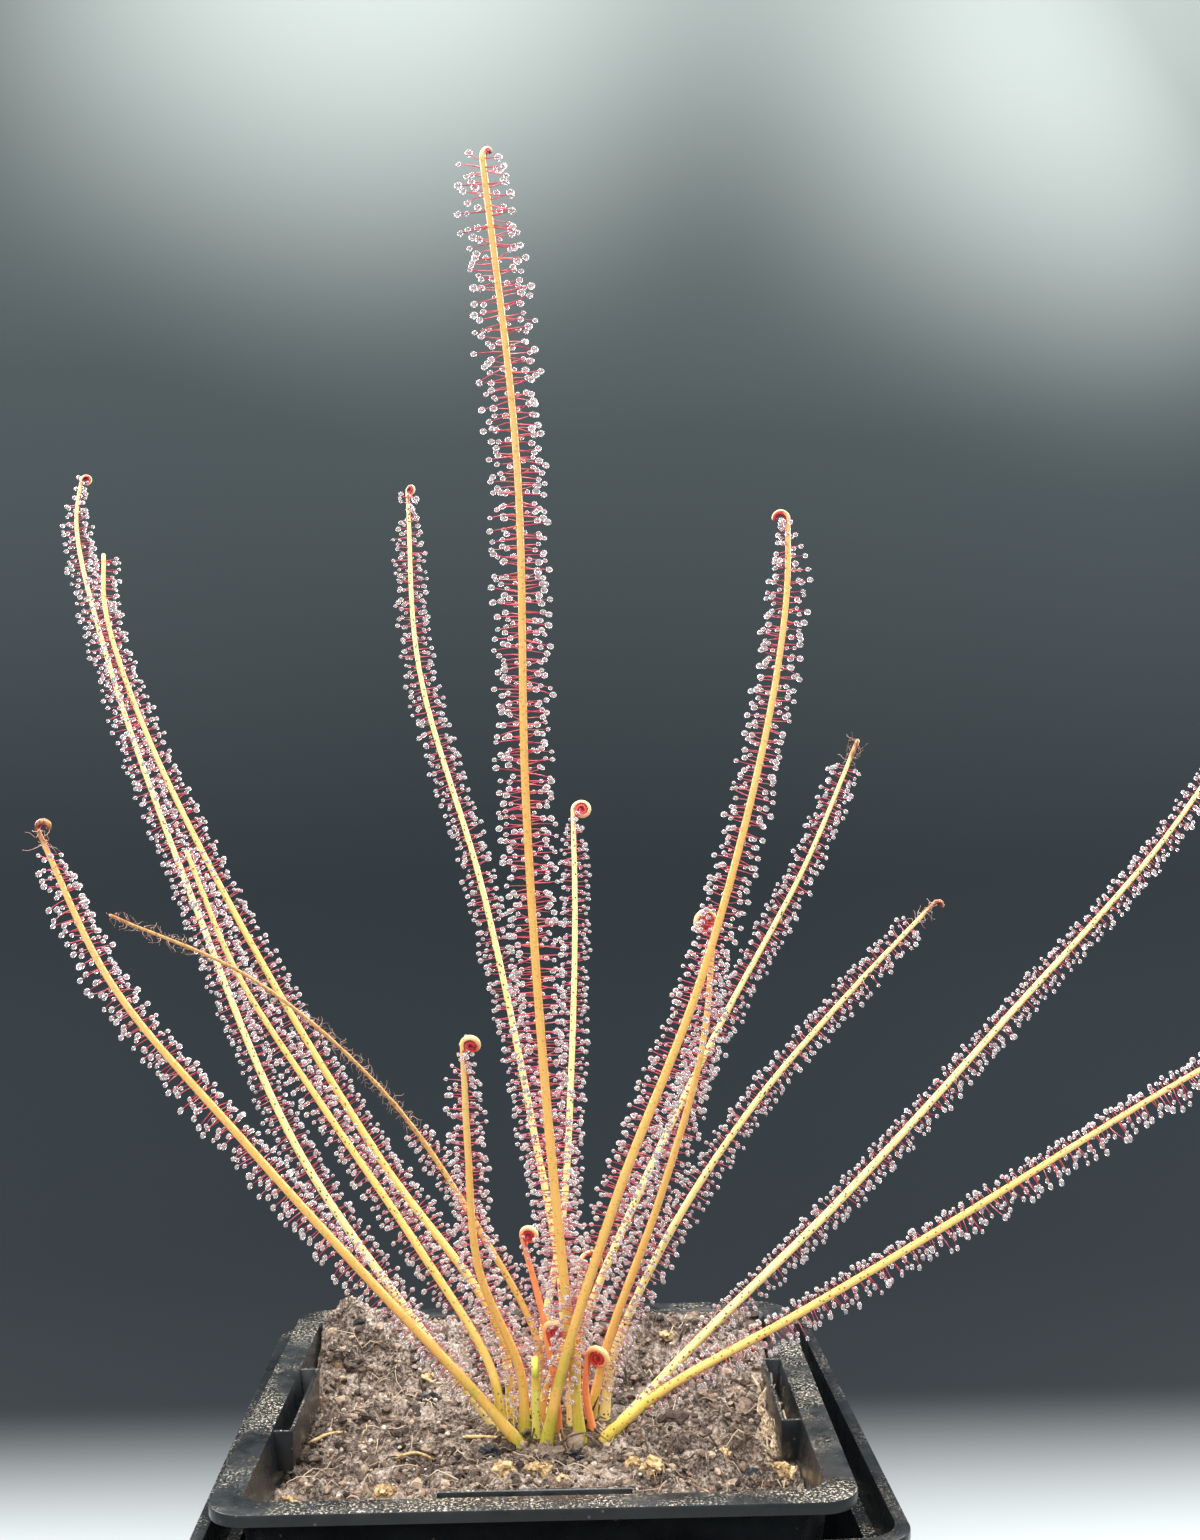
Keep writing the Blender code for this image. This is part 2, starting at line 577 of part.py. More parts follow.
def make_leaves(parts, cutters):
    shapes = {name: leaf_line(leaf) for name, leaf in LEAVES.items()}
    crowd = {name: dense_samples(line, radii) for name, (line, radii, _) in shapes.items()}
    old = finish_material("leaf_yellow", (0.75, 0.5, 0.16), 0.4)
    young = finish_material("leaf_coral", (0.8, 0.32, 0.12), 0.4)
    for number, (name, leaf) in enumerate(LEAVES.items()):
        line, radii, blade = shapes[name]
        rng = random.Random(SEED * 100 + number)
        material = young if name.startswith("young") else old
        stem = add_object(name, stem_mesh(name, line, radii), parts, material)
        tufts = bpy.data.collections.new("tentacles_" + name)
        cutters.children.link(tufts)
        for root, direction, radius in tentacle_sites(leaf, line, radii, blade, rng):
            reach = leaf["reach"] * MM * rng.uniform(0.9, 1.05)
            steps = np.linspace(0.2, 1.0, 6)
            samples = np.array([tuple(root + direction * (radius + reach * s)) for s in steps])
            if not is_clear(samples, name, crowd):
                continue
            start = root + direction * radius
            mesh = tentacle_mesh("tentacle", start, direction, reach, 0.6 * radius)
            add_object("tentacle", mesh, tufts)
            crowd[name] = np.vstack([crowd[name], samples])
        if len(tufts.objects):
            boolean(stem, "UNION", tufts, "MANIFOLD")
            settle(stem)
        for spent in list(tufts.objects):
            bpy.data.objects.remove(spent, do_unlink=True)
        bpy.data.collections.remove(tufts)


def main():
    clear_scene()
    parts = new_collection("sundew_plant")
    cutters = new_collection("cutters")
    make_outer_pot(parts)
    make_inner_pot(parts, cutters)
    make_soil(parts, cutters)
    make_crown(parts, cutters)
    make_leaves(parts, cutters)


main()
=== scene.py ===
# Looks of a thread-leaved sundew in its square nursery pot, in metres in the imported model's frame.
import math
import random

import bmesh
import bpy
from mathutils import Matrix, Vector, noise


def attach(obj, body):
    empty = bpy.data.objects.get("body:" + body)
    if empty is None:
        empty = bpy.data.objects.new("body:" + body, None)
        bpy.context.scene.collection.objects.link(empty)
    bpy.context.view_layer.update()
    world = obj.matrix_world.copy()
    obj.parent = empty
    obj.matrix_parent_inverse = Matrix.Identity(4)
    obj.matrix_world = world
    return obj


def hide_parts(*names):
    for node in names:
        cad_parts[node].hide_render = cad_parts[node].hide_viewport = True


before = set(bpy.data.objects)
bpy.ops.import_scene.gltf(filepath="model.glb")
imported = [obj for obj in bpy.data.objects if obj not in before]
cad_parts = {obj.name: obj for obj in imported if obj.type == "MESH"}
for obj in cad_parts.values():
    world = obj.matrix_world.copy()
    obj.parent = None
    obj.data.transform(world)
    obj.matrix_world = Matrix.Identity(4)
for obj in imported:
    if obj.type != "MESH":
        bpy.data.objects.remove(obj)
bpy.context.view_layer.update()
print("frame loaded:", len(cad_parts), "nodes")

mm = 0.001
up = Vector((0, 0, 1))


# Small helpers for node trees and meshes

def newMaterial(name, roughness, **inputs):
    material = bpy.data.materials.new(name)
    material.use_nodes = True
    shader = material.node_tree.nodes["Principled BSDF"]
    shader.inputs["Roughness"].default_value = roughness
    for key, value in inputs.items():
        shader.inputs[key.replace("_", " ")].default_value = value
    return material, material.node_tree, shader


def addNode(tree, kind, links=None, **values):
    node = tree.nodes.new("ShaderNode" + kind)
    for key, value in values.items():
        setattr(node, key, value)
    for socket, source in (links or {}).items():
        if isinstance(source, bpy.types.NodeSocket):
            tree.links.new(source, node.inputs[socket])
        else:
            node.inputs[socket].default_value = source
    return node


def objectPoint(tree):
    return addNode(tree, "TexCoord").outputs["Object"]


def noiseOf(tree, point, scale, detail=3.0, roughness=0.55):
    inputs = {"Vector": point, "Scale": scale, "Detail": detail, "Roughness": roughness}
    return addNode(tree, "TexNoise", inputs).outputs["Fac"]


def cellsOf(tree, point, scale, randomness=1.0):
    inputs = {"Vector": point, "Scale": scale, "Randomness": randomness}
    return addNode(tree, "TexVoronoi", inputs).outputs["Distance"]


def valueOf(tree, layer):
    return addNode(tree, "Attribute", attribute_name=layer).outputs["Fac"]


def squeezed(tree, point, share):
    # The point with its height squeezed, which draws a pattern out into upright streaks.
    return addNode(tree, "Mapping", {"Vector": point, "Scale": (1.0, 1.0, share)}).outputs["Vector"]


def ramp(tree, factor, stops):
    node = addNode(tree, "ValToRGB", {"Fac": factor})
    line = node.color_ramp
    while len(line.elements) < len(stops):
        line.elements.new(0.5)
    for element, (place, colour) in zip(line.elements, stops):
        element.position = place
        element.color = (*colour, 1.0)
    return node.outputs["Color"]


def remap(tree, value, low, high, start=0.0, end=1.0, curve="LINEAR"):
    inputs = {"Value": value, "From Min": low, "From Max": high, "To Min": start, "To Max": end}
    return addNode(tree, "MapRange", inputs, interpolation_type=curve).outputs["Result"]


def times(tree, first, second):
    return addNode(tree, "Math", {0: first, 1: second}, operation="MULTIPLY").outputs["Value"]


def plus(tree, first, second):
    return addNode(tree, "Math", {0: first, 1: second}, operation="ADD").outputs["Value"]


def mixColour(tree, factor, first, second, blend="MIX"):
    node = addNode(tree, "MixRGB", {"Fac": factor}, blend_type=blend)
    for slot, value in (("Color1", first), ("Color2", second)):
        if isinstance(value, bpy.types.NodeSocket):
            tree.links.new(value, node.inputs[slot])
        else:
            node.inputs[slot].default_value = (*value, 1.0)
    return node.outputs["Color"]


def addBump(tree, shader, height, strength, distance):
    bump = addNode(tree, "Bump", {"Height": height, "Strength": strength, "Distance": distance})
    tree.links.new(bump.outputs["Normal"], shader.inputs["Normal"])


def toMesh(name, bm):
    mesh = bpy.data.meshes.new(name)
    bm.to_mesh(mesh)
    bm.free()
    return mesh


def addPiece(name, bm, material, slot, node=None, smooth=True):
    # Turns a bmesh into a finished piece that rides on the plant's one body.
    mesh = toMesh(name, bm)
    mesh.materials.append(material)
    if smooth:
        mesh.shade_smooth()
    piece = bpy.data.objects.new(name, mesh)
    bpy.context.scene.collection.objects.link(piece)
    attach(piece, "root")
    if node:
        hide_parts(node)
    return piece


def stretch(x, y, z):
    return Matrix.Diagonal((x, y, z, 1.0))


def stamp(bm, template, matrix):
    # Adds a copy of a template mesh, placed by a matrix, and returns its vertices.
    count = len(bm.verts)
    bm.from_mesh(template)
    bm.verts.ensure_lookup_table()
    fresh = bm.verts[count:]
    bmesh.ops.transform(bm, matrix=matrix, verts=fresh)
    return fresh


def pour(target, batch):
    # Moves a small bmesh into a large one, so that stamping stays quick however large that one grows.
    mesh = bpy.data.meshes.new("batch")
    batch.to_mesh(mesh)
    target.from_mesh(mesh)
    batch.clear()
    bpy.data.meshes.remove(mesh)


def gather(count, addOne, every=30):
    # Calls addOne many times on a small bmesh and returns all that it adds as one bmesh.
    bm, batch = bmesh.new(), bmesh.new()
    for number in range(count):
        addOne(batch)
        if number % every == every - 1:
            pour(bm, batch)
    pour(bm, batch)
    batch.free()
    return bm


def joinLoop(bm, last, edges):
    # Bridges a loop to the one before it, or closes it with a face where it is the first.
    if last:
        bmesh.ops.bridge_loops(bm, edges=last + edges)
    else:
        bmesh.ops.contextual_create(bm, geom=edges)
    return edges


def edgesOf(verts):
    return list({edge for vert in verts for edge in vert.link_edges})


def vertsIn(geometry):
    return [item for item in geometry if isinstance(item, bmesh.types.BMVert)]


def clamp(value):
    return max(0.0, min(1.0, value))


def facing(direction, roll=0.0):
    return (direction.to_track_quat("Z", "Y").to_matrix() @ Matrix.Rotation(roll, 3, "Z")).to_4x4()


# Leaves: the same paths and sizes as the solids, in mm from the crown at soil level

crown = {
    "centre": Vector((1.8 * mm, 0.2 * mm, 81.5 * mm)),
    "footDepth": 3.4 * mm,
}

leafLook = {
    "ringGap": 1.6 * mm,
    "sides": 10,
    "flatten": 0.86,              # how far the furry face is flattened
    "coilStep": math.radians(14),
    "coilTighter": 1.5,
    "slim": 0.9,
    "fadedWidth": 0.72,           # what is left of the width where a leaf has begun to dry
    "twistOver": 16 * mm,         # where the furry face turns towards the inside of the coil
    "bareFoot": 0.09,             # share of the leaf with no tentacles above the foot
    "footSwell": 0.38,
    "swellOver": 6.5 * mm,
    "driedOver": 0.012,
    "fadedOver": 0.16,
    "fadedBrown": 0.7,
    "uneven": 0.05,
    "wrinkled": 0.5,
    "capShare": 0.6,
}

# Each row: turn from the furry face in degrees, its share of the full reach, and its pitch
tentacleRows = [
    (98, 1.0, 1.6 * mm), (-98, 1.0, 1.6 * mm),
    (84, 0.70, 1.5 * mm), (-84, 0.70, 1.5 * mm),
    (60, 0.60, 2.1 * mm), (-60, 0.60, 2.1 * mm),
    (28, 0.42, 3.2 * mm), (-28, 0.42, 3.2 * mm),
]

leaves = {
    "leaf_01": {
        "path": [(3.5, -5.5, 0), (2, -9, 19), (-1, -18, 58), (-3, -35, 104), (-3, -56, 149), (-6, -77, 182)],
        "radius": (1.0, 0.45), "coil": (0.9, 0.4, (0.6, 0.8, 0)), "reach": 3.4, "tone": "orange"},
    "leaf_02": {
        "path": [(-1.5, 5.5, 0), (1, 6, 16), (-4, 10, 49), (-12, 15, 88), (-23, 22, 127), (-25, 27, 159)],
        "radius": (0.85, 0.4), "coil": (0.8, 0.75, (0.8, -0.6, 0)), "reach": 2.4, "tone": "pale"},
    "leaf_03": {
        "path": [(-4, 7, 0), (-3, 11, 10), (1, 17, 30), (3, 24, 56), (4, 30, 81), (4, 35, 101)],
        "radius": (0.85, 0.5), "coil": (1.6, 1.4, (1, 0, 0)), "reach": 2.2, "tone": "pale"},
    "leaf_04": {
        "path": [(-10.5, 1.5, 0), (-22, 5, 14), (-44, 12, 44), (-63, 22, 85), (-80, 32, 128),
                 (-87.5, 38, 155), (-87, 40, 164)],
        "radius": (0.9, 0.4), "coil": (0.9, 0.75, (1, 0, 0)), "reach": 2.5, "tone": "pale"},
    "leaf_05": {
        "path": [(-7.5, 2, 0), (-10, 3, 16), (-29, 6, 43), (-50, 9, 78), (-69, 14, 115), (-76.5, 16, 137),
                 (-77, 17, 147)],
        "radius": (0.9, 0.4), "coil": None, "reach": 2.4, "tone": "gold"},
    "leaf_06": {
        "path": [(-9, -2, 0), (-11, -2, 11), (-22, -2, 30), (-37, -2, 53), (-51, -3, 76), (-59, -3, 96)],
        "radius": (0.9, 0.4), "coil": None, "reach": 2.3, "tone": "gold"},
    "leaf_07": {
        "path": [(-4.5, 3.5, 0), (-3, 2, 12), (-12, -3, 33), (-26, -11, 57), (-45, -21, 77), (-64, -31, 88)],
        "radius": (0.7, 0.35), "coil": None, "reach": 1.7, "tone": "gold", "dewUntil": 0.5, "dense": 1.1,
        "fadedFrom": 0.36, "driedFrom": 0.965},
    "leaf_08": {
        "path": [(-6.5, -5.5, 0), (-14, -8, 10), (-29, -14, 29), (-47, -22, 53), (-64, -31, 78),
                 (-72, -39, 101)],
        "radius": (1.0, 0.45), "coil": (1.0, 0.6, (1, 0, 0)), "reach": 2.6, "tone": "orange",
        "dewUntil": 0.97, "droop": 0.9, "driedFrom": 0.955},
    "leaf_09": {
        "path": [(-5.5, -2, 0), (-6, -5, 11), (-12, -13, 30), (-13, -21, 51), (-13, -29, 68)],
        "radius": (0.95, 0.5), "coil": (1.35, 1.05, (0.95, -0.2, 0)), "reach": 2.3, "tone": "orange"},
    "leaf_10": {
        "path": [(-2, -7, 0), (1, -11, 14), (10, -18, 43), (23, -27, 78), (32, -36, 114), (34.5, -41, 133),
                 (34.5, -43, 143)],
        "radius": (1.05, 0.45), "coil": (1.1, 0.5, (-1, 0, 0)), "reach": 2.7, "tone": "orange"},
    "leaf_11": {
        "path": [(5, 1, 0), (8, 0, 13), (17, -3, 38), (24, -7, 63), (26, -11, 84)],
        "radius": (0.9, 0.5), "coil": (1.95, 1.4, (-0.85, -0.5, 0)), "reach": 2.3, "tone": "orange"},
    "leaf_12": {
        "path": [(1.5, 6.5, 0), (4, 8, 13), (14, 12, 35), (29, 18, 63), (45, 24, 90), (56, 29, 113)],
        "radius": (0.9, 0.4), "coil": None, "reach": 2.5, "tone": "pale", "dewUntil": 0.96,
        "driedFrom": 0.965},
    "leaf_13": {
        "path": [(7.5, 3, 0), (9, 3, 10), (18, 4, 29), (33, 5, 51), (50, 6, 70), (65, 7, 85)],
        "radius": (0.9, 0.4), "coil": (0.9, 0.4, (0.3, 0, -1)), "reach": 2.2, "tone": "pale",
        "dewUntil": 0.95, "driedFrom": 0.95},
    "leaf_14": {
        "path": [(9.5, -0.5, 0), (22, 2, 12), (49, 9, 35), (80, 18, 64), (111, 27, 94), (133, 35, 121)],
        "radius": (0.95, 0.4), "coil": (0.9, 0.6, (-1, 0, 0)), "reach": 2.2, "tone": "pale",
        "droop": 0.6},
    "leaf_15": {
        "path": [(7.5, -4.5, 0), (17, -6, 8), (39, -9, 21), (66, -13, 38), (92, -17, 55), (113, -21, 68)],
        "radius": (0.95, 0.4), "coil": (0.9, 0.6, (-1, 0, 0)), "reach": 2.5, "tone": "gold", "droop": 1.0},
    "young_leaf_1": {
        "path": [(0, 2, 0), (-2, 0.5, 16.5), (-5.5, -1, 32)],
        "radius": (0.7, 0.55), "coil": (1.35, 1.3, (0.9, -0.3, 0)), "reach": 1.5, "tone": "coral"},
    "young_leaf_2": {
        "path": [(0, -3, 0), (-0.5, -5.5, 10), (-1.8, -8, 18.5)],
        "radius": (0.7, 0.6), "coil": (1.75, 1.4, (1.0, -0.25, 0)), "reach": 0, "tone": "coral"},
    "young_leaf_3": {
        "path": [(5.5, -2, 0), (4.5, -4, 7.5), (5, -6, 14)],
        "radius": (0.7, 0.6), "coil": (1.75, 1.4, (1.0, -0.45, 0)), "reach": 0, "tone": "coral"},
    "young_leaf_4": {
        "path": [(-3.5, -4, 0), (-3.5, -7, 7), (-3.5, -9.5, 14)],
        "radius": (0.85, 0.75), "coil": (1.25, 0.8, (0, -1, 0)), "reach": 0, "tone": "green"},
    "young_leaf_5": {
        "path": [(3, 4, 0), (3.5, 4, 14), (4, 4, 26)],
        "radius": (0.65, 0.5), "coil": (1.9, 0.6, (1, 0.2, 0)), "reach": 1.5, "tone": "gold"},
    "young_leaf_6": {
        "path": [(-3, 0, 0), (-2, -1, 7), (0, -2.5, 12.5)],
        "radius": (0.65, 0.4), "coil": None, "reach": 0, "tone": "orange"},
    "young_leaf_7": {
        "path": [(2, -1, 0), (1.8, -0.8, 6), (2.4, -0.6, 12)],
        "radius": (0.65, 0.4), "coil": None, "reach": 0, "tone": "pale"},
}


def plantPoint(point):
    return crown["centre"] + Vector(point) * mm


def catmull(span, share):
    p0, p1, p2, p3, (t0, t1, t2, t3) = span
    t = t1 + (t2 - t1) * share
    a1 = p0.lerp(p1, (t - t0) / (t1 - t0))
    a2 = p1.lerp(p2, (t - t1) / (t2 - t1))
    a3 = p2.lerp(p3, (t - t2) / (t3 - t2))
    b1 = a1.lerp(a2, (t - t0) / (t2 - t0))
    b2 = a2.lerp(a3, (t - t1) / (t3 - t1))
    return b1.lerp(b2, (t - t1) / (t2 - t1))


def smoothPath(points, gap):
    # A centripetal Catmull-Rom curve through the points, with a ring about every gap.
    padded = [points[0] * 2 - points[1]] + points + [points[-1] * 2 - points[-2]]
    result = []
    for p0, p1, p2, p3 in zip(padded, padded[1:], padded[2:], padded[3:]):
        knots = [0.0]
        for a, b in ((p0, p1), (p1, p2), (p2, p3)):
            knots.append(knots[-1] + math.sqrt((b - a).length))
        steps = max(2, round((p2 - p1).length / gap))
        result += [catmull((p0, p1, p2, p3, knots), step / steps) for step in range(steps)]
    result.append(points[-1].copy())
    return result


def coilPoints(start, heading, size, turns, way):
    ahead = heading.normalized()
    side = (way - ahead * way.dot(ahead)).normalized()
    centre = start + side * size
    tight = turns > 1
    turns *= leafLook["coilTighter"] if tight else 1.0
    steps = max(4, round(math.tau * turns / leafLook["coilStep"]))
    inner = size * (0.18 if tight else 0.75)
    points = []
    for step in range(1, steps + 1):
        share = step / steps
        angle = math.tau * turns * share
        radius = size + (inner - size) * share
        points.append((centre - side * radius * math.cos(angle) + ahead * radius * math.sin(angle), centre))
    return points


def leafLine(leaf):
    # Every ring of a leaf: its place, radius, furry direction and how far it is into the coil.
    points = [plantPoint(p) for p in leaf["path"]]
    line = smoothPath(points, leafLook["ringGap"])
    footRadius, tipRadius = (r * mm for r in leaf["radius"])
    count = len(line) - 1
    slim = leafLook["slim"]
    radii = [slim * (footRadius + (tipRadius - footRadius) * (i / count) ** 0.8) for i in range(count + 1)]
    furry = Vector((0, 1, 0))
    coil = []
    if leaf["coil"]:
        size, turns, way = leaf["coil"]
        coil = coilPoints(line[-1], line[-1] - line[-2], size * mm, turns, Vector(way))
    toTip = [0.0]
    for a, b in zip(line[::-1], line[-2::-1]):
        toTip.append(toTip[-1] + (a - b).length)
    toTip.reverse()
    rings = []
    for place, radius, left in zip(line, radii, toTip):
        side = furry
        if coil:
            turnIn = max(0.0, 1 - left / leafLook["twistOver"]) ** 2
            side = furry.lerp(Vector(leaf["coil"][2]).normalized(), turnIn)
        rings.append([place, radius, side, 0.0])
    rings.insert(0, [points[0] - up * crown["footDepth"], footRadius, furry, 0.0])
    for i, (place, centre) in enumerate(coil):
        radius = slim * tipRadius * (1 - 0.25 * (i + 1) / len(coil))
        rings.append([place, radius, (centre - place).normalized(), (i + 1) / len(coil)])
    for i, ring in enumerate(rings):
        before = rings[max(0, i - 1)][0]
        after = rings[min(len(rings) - 1, i + 1)][0]
        along = (after - before).normalized()
        side = (ring[2] - along * ring[2].dot(along)).normalized()
        ring[2] = side
        ring.append(along)
    return rings, count + 2


def ringLoop(bm, place, along, side, radius, sides, flatten=1.0):
    across = along.cross(side)
    turn = Matrix((across, side, along)).transposed().to_4x4()
    made = bmesh.ops.create_circle(bm, segments=sides, radius=radius,
                                   matrix=Matrix.Translation(place) @ turn)["verts"]
    for vert in made:
        offset = (vert.co - place).dot(side)
        if offset > 0:
            vert.co -= side * offset * (1 - flatten)
    return made, edgesOf(made)


def bladeRing(bm, layers, ring, centre, size, flatten, share, brown):
    # One ring of a blade and its values: share of the length, furry side, coil and dryness.
    place, _, side, inCoil, along = ring
    made, edges = ringLoop(bm, centre, along, side, size, leafLook["sides"], flatten)
    for vert in made:
        furry = (vert.co - place).normalized().dot(side)
        for layer, value in zip(layers, (share, furry, inCoil, brown)):
            vert[layer] = value
    return edges


def slotOf(name):
    return "young_leaf" if name.startswith("young") else "leaf"


def makeBlade(name, leaf, rings):
    bm = bmesh.new()
    layers = [bm.verts.layers.float.new(key) for key in ("length", "furry", "coiled", "dried")]
    total = sum((b[0] - a[0]).length for a, b in zip(rings, rings[1:]))
    travelled, last = 0.0, None
    for i, ring in enumerate(rings):
        place = ring[0]
        if i:
            travelled += (place - rings[i - 1][0]).length
        share = travelled / total
        faded = clamp((share - leaf.get("fadedFrom", 2.0)) / leafLook["fadedOver"])
        brown = clamp((share - leaf.get("driedFrom", 2.0)) / leafLook["driedOver"])
        brown = max(brown, leafLook["fadedBrown"] * faded)
        radius = ring[1] * (1 - (1 - leafLook["fadedWidth"]) * faded)
        swell = leafLook["footSwell"] * math.exp(-(travelled / leafLook["swellOver"]) ** 2)
        uneven = leafLook["uneven"] * noise.noise(place * 900)
        wrinkled = leafLook["wrinkled"] * brown * noise.noise(place * 1500)
        size = radius * (1 + uneven + swell + wrinkled)
        edges = bladeRing(bm, layers, ring, place, size, leafLook["flatten"], share, brown)
        last = joinLoop(bm, last, edges)
    place, radius, _, _, along = rings[-1]
    cap = leafLook["capShare"]
    edges = bladeRing(bm, layers, rings[-1], place + along * radius * cap, radius * cap, 1.0, 1.0, brown)
    joinLoop(bm, last, edges)
    bmesh.ops.contextual_create(bm, geom=edges)
    bmesh.ops.recalc_face_normals(bm, faces=bm.faces)
    addPiece(name + "_blade", bm, leafMaterials[leaf["tone"]], slotOf(name), name)


# Leaf colours: foot, middle, tip, furry side, and how strongly the bare back is dotted
leafTones = {
    "orange": ((0.48, 0.44, 0.04), (0.84, 0.50, 0.13), (0.88, 0.60, 0.22), (0.48, 0.05, 0.05), 0.25),
    "gold": ((0.58, 0.47, 0.06), (0.87, 0.60, 0.16), (0.88, 0.60, 0.22), (0.50, 0.07, 0.06), 0.75),
    "pale": ((0.80, 0.68, 0.26), (0.88, 0.73, 0.30), (0.88, 0.70, 0.28), (0.55, 0.12, 0.09), 1.0),
    "coral": ((0.82, 0.44, 0.12), (0.86, 0.32, 0.12), (0.88, 0.36, 0.16), (0.60, 0.03, 0.03), 0.15),
    "green": ((0.62, 0.60, 0.10), (0.80, 0.76, 0.20), (0.62, 0.64, 0.10), (0.80, 0.62, 0.12), 0.8),
}


def leafMaterial(name, tone):
    foot, middle, tip, hairSide, dotted = tone
    material, tree, shader = newMaterial("leaf_" + name, 0.36, Subsurface_Weight=0.3,
                                         Subsurface_Scale=0.0015, Coat_Weight=0.15)
    shader.inputs["Subsurface Radius"].default_value = (1.0, 0.45, 0.2)
    point = objectPoint(tree)
    length, furry, coiled, dried = (valueOf(tree, key) for key in ("length", "furry", "coiled", "dried"))
    blotch = noiseOf(tree, point, 160.0, 4.0)
    fine = noiseOf(tree, squeezed(tree, point, 0.22), 2600.0, 2.0)
    shifted = plus(tree, length, remap(tree, blotch, 0.3, 0.7, -0.08, 0.08))
    colour = ramp(tree, shifted, [(0.02, foot), (0.14, middle), (0.6, middle), (0.8, tip), (1.0, tip)])
    colour = mixColour(tree, remap(tree, fine, 0.35, 0.7, 0.0, 0.35), colour, tip)
    dots = remap(tree, cellsOf(tree, point, 1250.0, 0.9), 0.19, 0.29, dotted, 0.0)
    colour = mixColour(tree, dots, colour, (0.10, 0.045, 0.02))
    colour = mixColour(tree, remap(tree, furry, 0.15, 0.6), colour, hairSide)
    if name != "green":
        # A coil has a cream band outside and red flanks
        colour = mixColour(tree, remap(tree, coiled, 0.0, 0.25), colour, (0.90, 0.62, 0.30))
        wound = times(tree, remap(tree, coiled, 0.12, 0.4), remap(tree, furry, -0.85, -0.45))
        colour = mixColour(tree, wound, colour, (0.66, 0.03, 0.02))
    husk = ramp(tree, fine, [(0.35, (0.16, 0.06, 0.02)), (0.65, (0.50, 0.26, 0.09))])
    colour = mixColour(tree, dried, colour, husk)
    tree.links.new(colour, shader.inputs["Base Color"])
    addBump(tree, shader, fine, 0.25, 0.00008)
    return material


leafMaterials = {name: leafMaterial(name, tone) for name, tone in leafTones.items()}

# Tentacles: a bent tapering stalk, a dark red gland at its end and a clear drop of dew round it
tentacle = {
    "usualReach": 2.4 * mm,
    "rootRadius": 0.105 * mm,
    "neckRadius": 0.052 * mm,
    "dryThick": 0.62,
    "dryCurl": 0.5 * mm,
    "bends": (0.0, 0.2 * mm, 0.4 * mm, -0.25 * mm, 0.6 * mm),
    "dryBends": (0.9 * mm, 1.8 * mm, -1.5 * mm, 2.3 * mm),
    "gland": (0.14 * mm, 0.22 * mm),
    "dew": (0.28 * mm, 0.47 * mm),
    "lean": math.radians(11),
    "shortReach": 1.3 * mm,
}

coilLining = {
    "gland": (0.20 * mm, 0.26 * mm),
    "rows": (-50, -18, 18, 50),
}


def tentacleMaterial():
    material, tree, shader = newMaterial("tentacle_flesh", 0.3, Subsurface_Weight=0.2,
                                         Subsurface_Scale=0.0005)
    shader.inputs["Subsurface Radius"].default_value = (1.0, 0.35, 0.3)
    tipward = valueOf(tree, "tipward")
    blotch = noiseOf(tree, objectPoint(tree), 700.0, 2.0)
    shifted = plus(tree, tipward, remap(tree, blotch, 0.3, 0.7, -0.2, 0.2))
    colour = ramp(tree, shifted, [(0.0, (0.60, 0.16, 0.08)), (0.3, (0.52, 0.05, 0.09)),
                                  (0.85, (0.40, 0.02, 0.07)), (1.0, (0.28, 0.003, 0.02))])
    dry = ramp(tree, blotch, [(0.35, (0.30, 0.13, 0.09)), (0.65, (0.62, 0.36, 0.26))])
    colour = mixColour(tree, remap(tree, tipward, -0.1, -0.4), colour, dry)
    tree.links.new(colour, shader.inputs["Base Color"])
    return material


def dewMaterial():
    # A fifth of each drop is diffuse near-white, a painted highlight that brightens the drops as their
    # glints would; the noise tints it faintly pink in places
    material, tree, shader = newMaterial("dew", 0.0, IOR=1.36, Transmission_Weight=0.8)
    paintedGlintTint = noiseOf(tree, objectPoint(tree), 900.0, 1.0)
    colour = ramp(tree, paintedGlintTint, [(0.3, (1.0, 0.93, 0.94)), (0.7, (1.0, 1.0, 1.0))])
    tree.links.new(colour, shader.inputs["Base Color"])
    return material


def stalkTemplate(bend, dry=False):
    # A stalk of the usual reach along +Z that bends towards +X, with a value that rises to its tip.
    bm = bmesh.new()
    tipward = bm.verts.layers.float.new("tipward")
    last = None
    root, neck, reach = tentacle["rootRadius"], tentacle["neckRadius"], tentacle["usualReach"]
    thick, curl, shrink = (tentacle["dryThick"], tentacle["dryCurl"], 0.3) if dry else (1.0, 0.0, 0.0)
    steps = 6 if dry else 3
    for step in range(steps + 1):
        share = step / steps
        radius = (root + (neck - root) * share ** 0.6) * thick
        place = (bend * share ** 2, curl * math.sin(share * 5.0), reach * share * (1 - shrink * share))
        made = bmesh.ops.create_circle(bm, segments=3, radius=radius,
                                       matrix=Matrix.Translation(place))["verts"]
        for vert in made:
            vert[tipward] = -0.5 if dry else 0.9 * share
        last = joinLoop(bm, last, edgesOf(made))
    bmesh.ops.contextual_create(bm, geom=last)
    bmesh.ops.recalc_face_normals(bm, faces=bm.faces)
    return toMesh("stalk", bm)


def ballTemplate(name, across, rings, layer=None):
    bm = bmesh.new()
    value = bm.verts.layers.float.new(layer) if layer else None
    for vert in bmesh.ops.create_uvsphere(bm, u_segments=across, v_segments=rings, radius=1.0)["verts"]:
        if layer:
            vert[value] = 1.0
    return toMesh(name, bm)


fleshMaterial = tentacleMaterial()
dropMaterial = dewMaterial()
stalks = [(bend, stalkTemplate(bend)) for bend in tentacle["bends"]]
dryStalks = [(bend, stalkTemplate(bend, dry=True)) for bend in tentacle["dryBends"]]
glandBall = ballTemplate("gland", 4, 2, "tipward")
dewBall = ballTemplate("dew", 7, 5)


